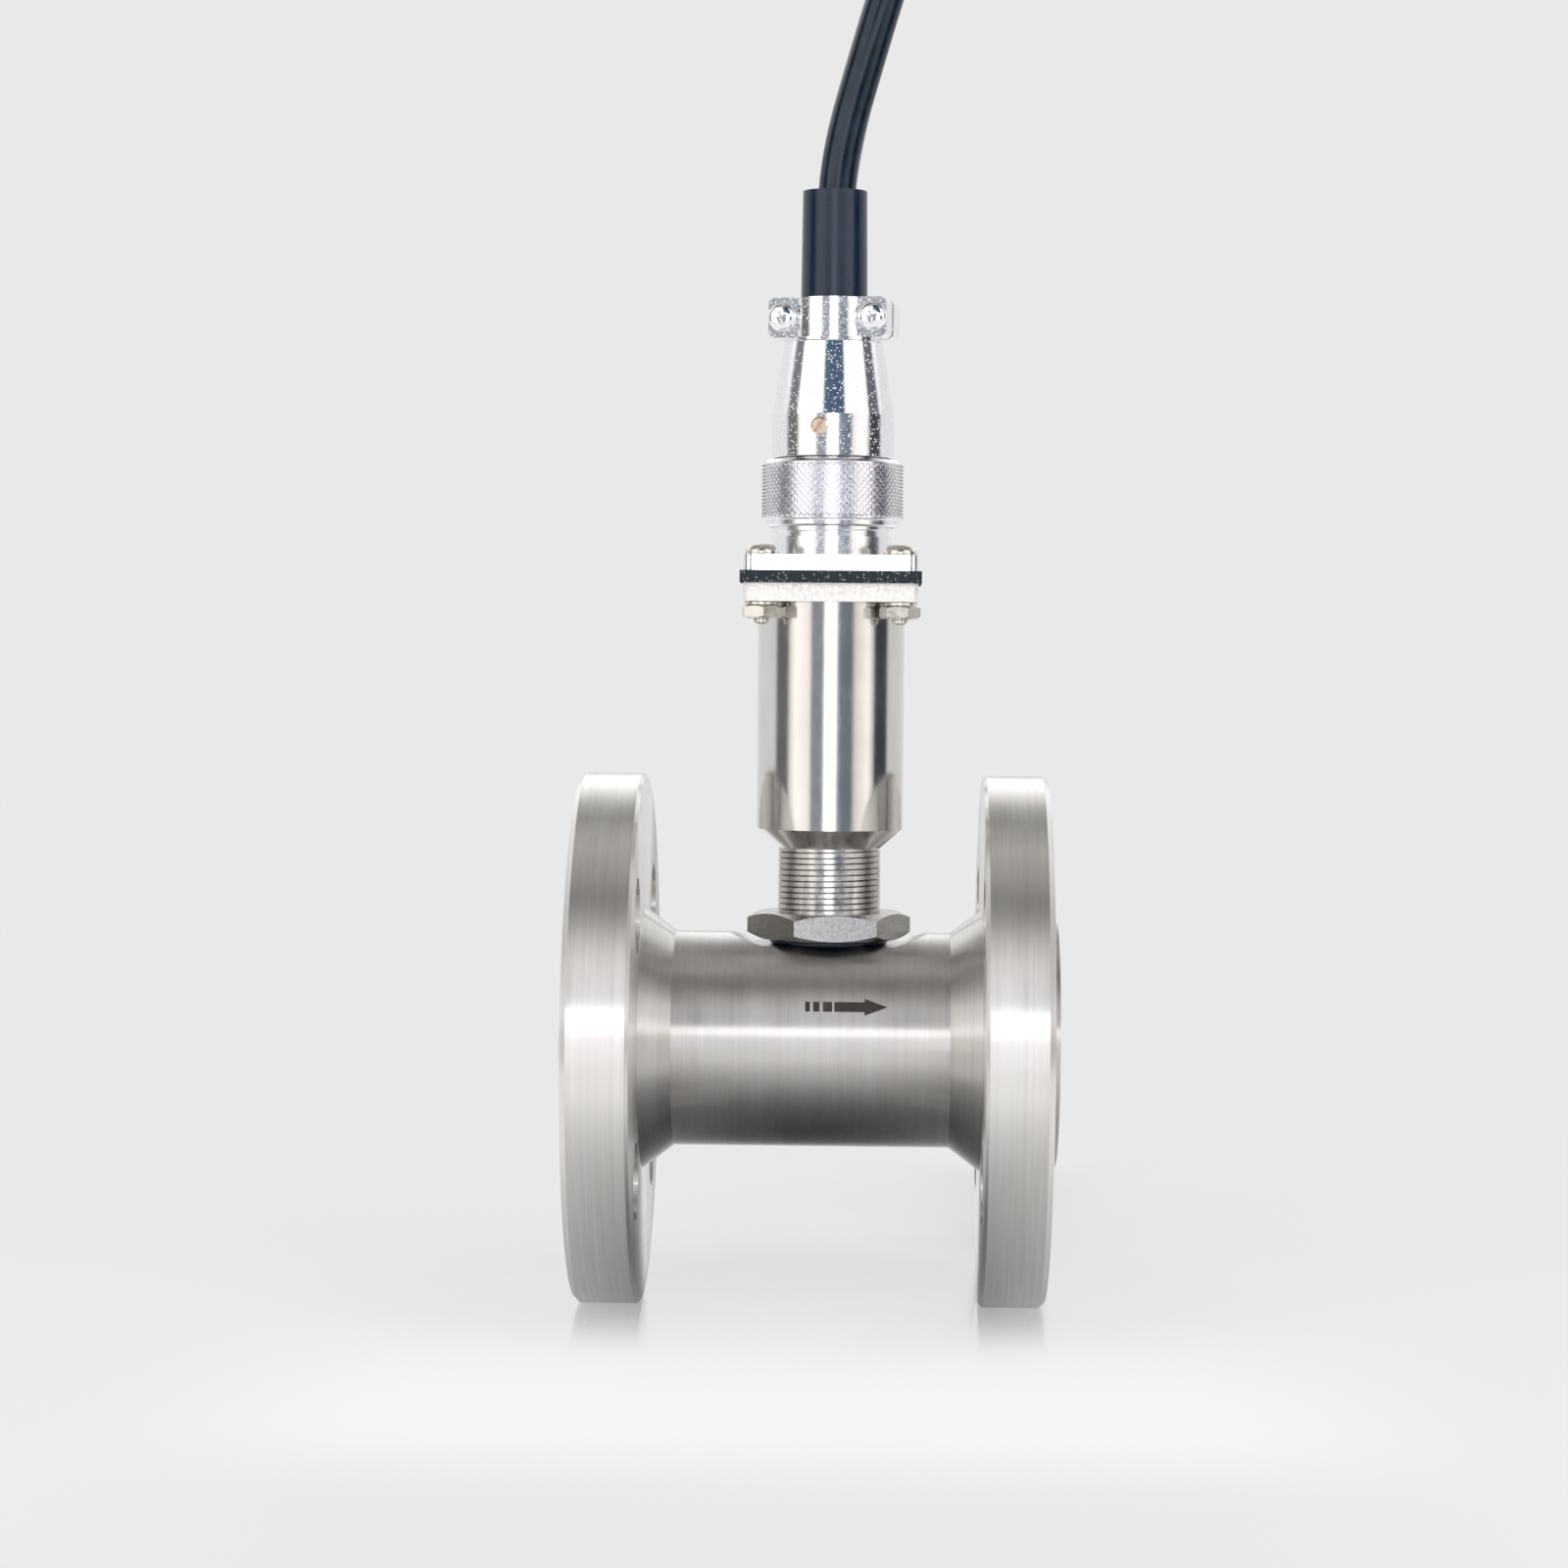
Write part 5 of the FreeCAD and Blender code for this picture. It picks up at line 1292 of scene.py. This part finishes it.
class FLOWMETER_OT_studio(bpy.types.Operator):
    """Camera, pale floor, backdrop and soft lights"""

    bl_idname = "flowmeter.studio"
    bl_label = "Studio"

    def execute(self, context):
        self.camera(context)
        self.floor()
        self.surroundings(context)
        self.softbox("top_light", (0.1, -0.35, 1.1), (0, 0, 0.02), (1.2, 1.0), 14.0)
        self.softbox("left_light", (-1.2, -0.9, 0.5), (0, 0, 0.05), (0.8, 1.0), 9.0)
        self.softbox("right_light", (1.2, -0.9, 0.5), (0, 0, 0.05), (0.8, 1.0), 9.0)
        context.scene.view_settings.view_transform = "Standard"
        return {"FINISHED"}

    def camera(self, context):
        values = studio()
        yaw, pitch, roll = values.camera_yaw, values.camera_pitch, values.camera_roll
        ahead = Vector((
            math.sin(yaw) * math.cos(pitch), math.cos(yaw) * math.cos(pitch), -math.sin(pitch)))
        right = Vector((math.cos(yaw), -math.sin(yaw), 0.0))
        up = right.cross(ahead)
        turned_right = right * math.cos(roll) + up * math.sin(roll)
        turned_up = up * math.cos(roll) - right * math.sin(roll)
        rotation = Matrix((turned_right, turned_up, -ahead)).transposed().to_4x4()
        data = bpy.data.cameras.new("camera")
        data.lens = values.focal_length
        data.sensor_width = 36.0
        data.clip_start = 0.01
        data.clip_end = 50.0
        camera = bpy.data.objects.new("camera", data)
        camera.matrix_world = Matrix.Translation(values.camera_place) @ rotation
        context.scene.collection.objects.link(camera)
        context.scene.camera = camera

    def floor(self):
        """Round floor whose shine fades into the backdrop."""
        shape = bmesh.new()
        rings = (0.05, 0.2, 0.6, 1.5, studio().floor_radius)
        rows = lathe(shape, [(radius, FLOOR_Z) for radius in rings], steps=64)
        shape.faces.new(rows[0])
        new_piece("floor", shape, "floor_paint")

    def surroundings(self, context):
        """Even backdrop, and for gloss and light a room with soft panels in front."""
        world = bpy.data.worlds.new("surroundings")
        world.use_nodes = True
        context.scene.world = world
        nodes = Nodes(world.node_tree)
        nodes.tree.nodes.clear()
        right, back, up = nodes.split(nodes.coordinates("Generated"))
        turn = nodes.math("ARCTAN2", right, nodes.math("MULTIPLY", back, -1.0))
        rise = nodes.math("ARCSINE", up)
        circle = nodes.math("ADD", nodes.math("DIVIDE", turn, FULL_TURN), 0.5)

        def bands(stops):
            return nodes.ramp(circle, [(degrees / 360 + 0.5, shade) for degrees, shade in stops])

        strip = nodes.math(
            "MULTIPLY", nodes.fade(nodes.math("ABSOLUTE", turn), (1.32, 1.20)),
            nodes.math("MULTIPLY", nodes.fade(rise, (0.11, 0.15)), nodes.fade(rise, (0.31, 0.26))))
        dimming = nodes.ramp(nodes.math("DIVIDE", rise, math.pi / 2), DIMMING)
        raised = nodes.vector("MULTIPLY", bands(RAISED_BANDS), dimming)
        room = nodes.blend(nodes.fade(rise, (0.24, 0.32)), bands(LEVEL_BANDS), raised)
        room = nodes.blend(strip, room, (2.1, 2.1, 2.15))
        room = nodes.blend(nodes.fade(rise, (1.05, 1.50)), room, (0.60, 0.59, 0.57))
        room = nodes.blend(nodes.fade(rise, (-0.12, -0.22)), room, (0.90, 0.90, 0.90))
        in_view = nodes.node("ShaderNodeLightPath").outputs["Is Camera Ray"]
        seen = nodes.blend(in_view, room, (studio().backdrop,) * 3)
        output = nodes.node("ShaderNodeOutputWorld")
        nodes.feed(output.inputs["Surface"], nodes.shader("ShaderNodeBackground", seen))

    def softbox(self, name, place, target, size, power):
        data = bpy.data.lights.new(name, "AREA")
        data.shape = "RECTANGLE"
        data.size, data.size_y = size
        data.energy = power
        lamp = bpy.data.objects.new(name, data)
        lamp.location = place
        lamp.rotation_euler = (Vector(target) - Vector(place)).to_track_quat("-Z", "Y").to_euler()
        lamp.visible_glossy = False
        bpy.context.scene.collection.objects.link(lamp)


class FLOWMETER_PT_panel(bpy.types.Panel):
    """Flow meter pieces and sizes"""

    bl_idname = "FLOWMETER_PT_panel"
    bl_label = "Flow Meter"
    bl_space_type = "VIEW_3D"
    bl_region_type = "UI"
    bl_category = "Flow Meter"

    def draw(self, context):
        for operator in OPERATORS:
            self.layout.operator(operator.bl_idname)
        for group in (sizes(), colours(), studio()):
            box = self.layout.box()
            for name in group.__annotations__:
                box.prop(group, name)


GROUPS = (FlowMeterSizes, FlowMeterColours, FlowMeterStudio)
OPERATORS = (
    FLOWMETER_OT_studio,
    FLOWMETER_OT_cable,
    FLOWMETER_OT_finishes,
    FLOWMETER_OT_threads,
    FLOWMETER_OT_ring,
    FLOWMETER_OT_fasteners,
    FLOWMETER_OT_flow_arrow,
)


def register():
    for item in (*GROUPS, *OPERATORS, FLOWMETER_PT_panel):
        bpy.utils.register_class(item)
    bpy.types.Scene.flow_meter_sizes = PointerProperty(type=FlowMeterSizes)
    bpy.types.Scene.flow_meter_colours = PointerProperty(type=FlowMeterColours)
    bpy.types.Scene.flow_meter_studio = PointerProperty(type=FlowMeterStudio)


def unregister():
    del bpy.types.Scene.flow_meter_studio
    del bpy.types.Scene.flow_meter_colours
    del bpy.types.Scene.flow_meter_sizes
    for item in reversed((*GROUPS, *OPERATORS, FLOWMETER_PT_panel)):
        bpy.utils.unregister_class(item)


def main():
    register()
    for operator in OPERATORS:
        section, name = operator.bl_idname.split(".")
        getattr(getattr(bpy.ops, section), name)()


if __name__ == "__main__":
    main()
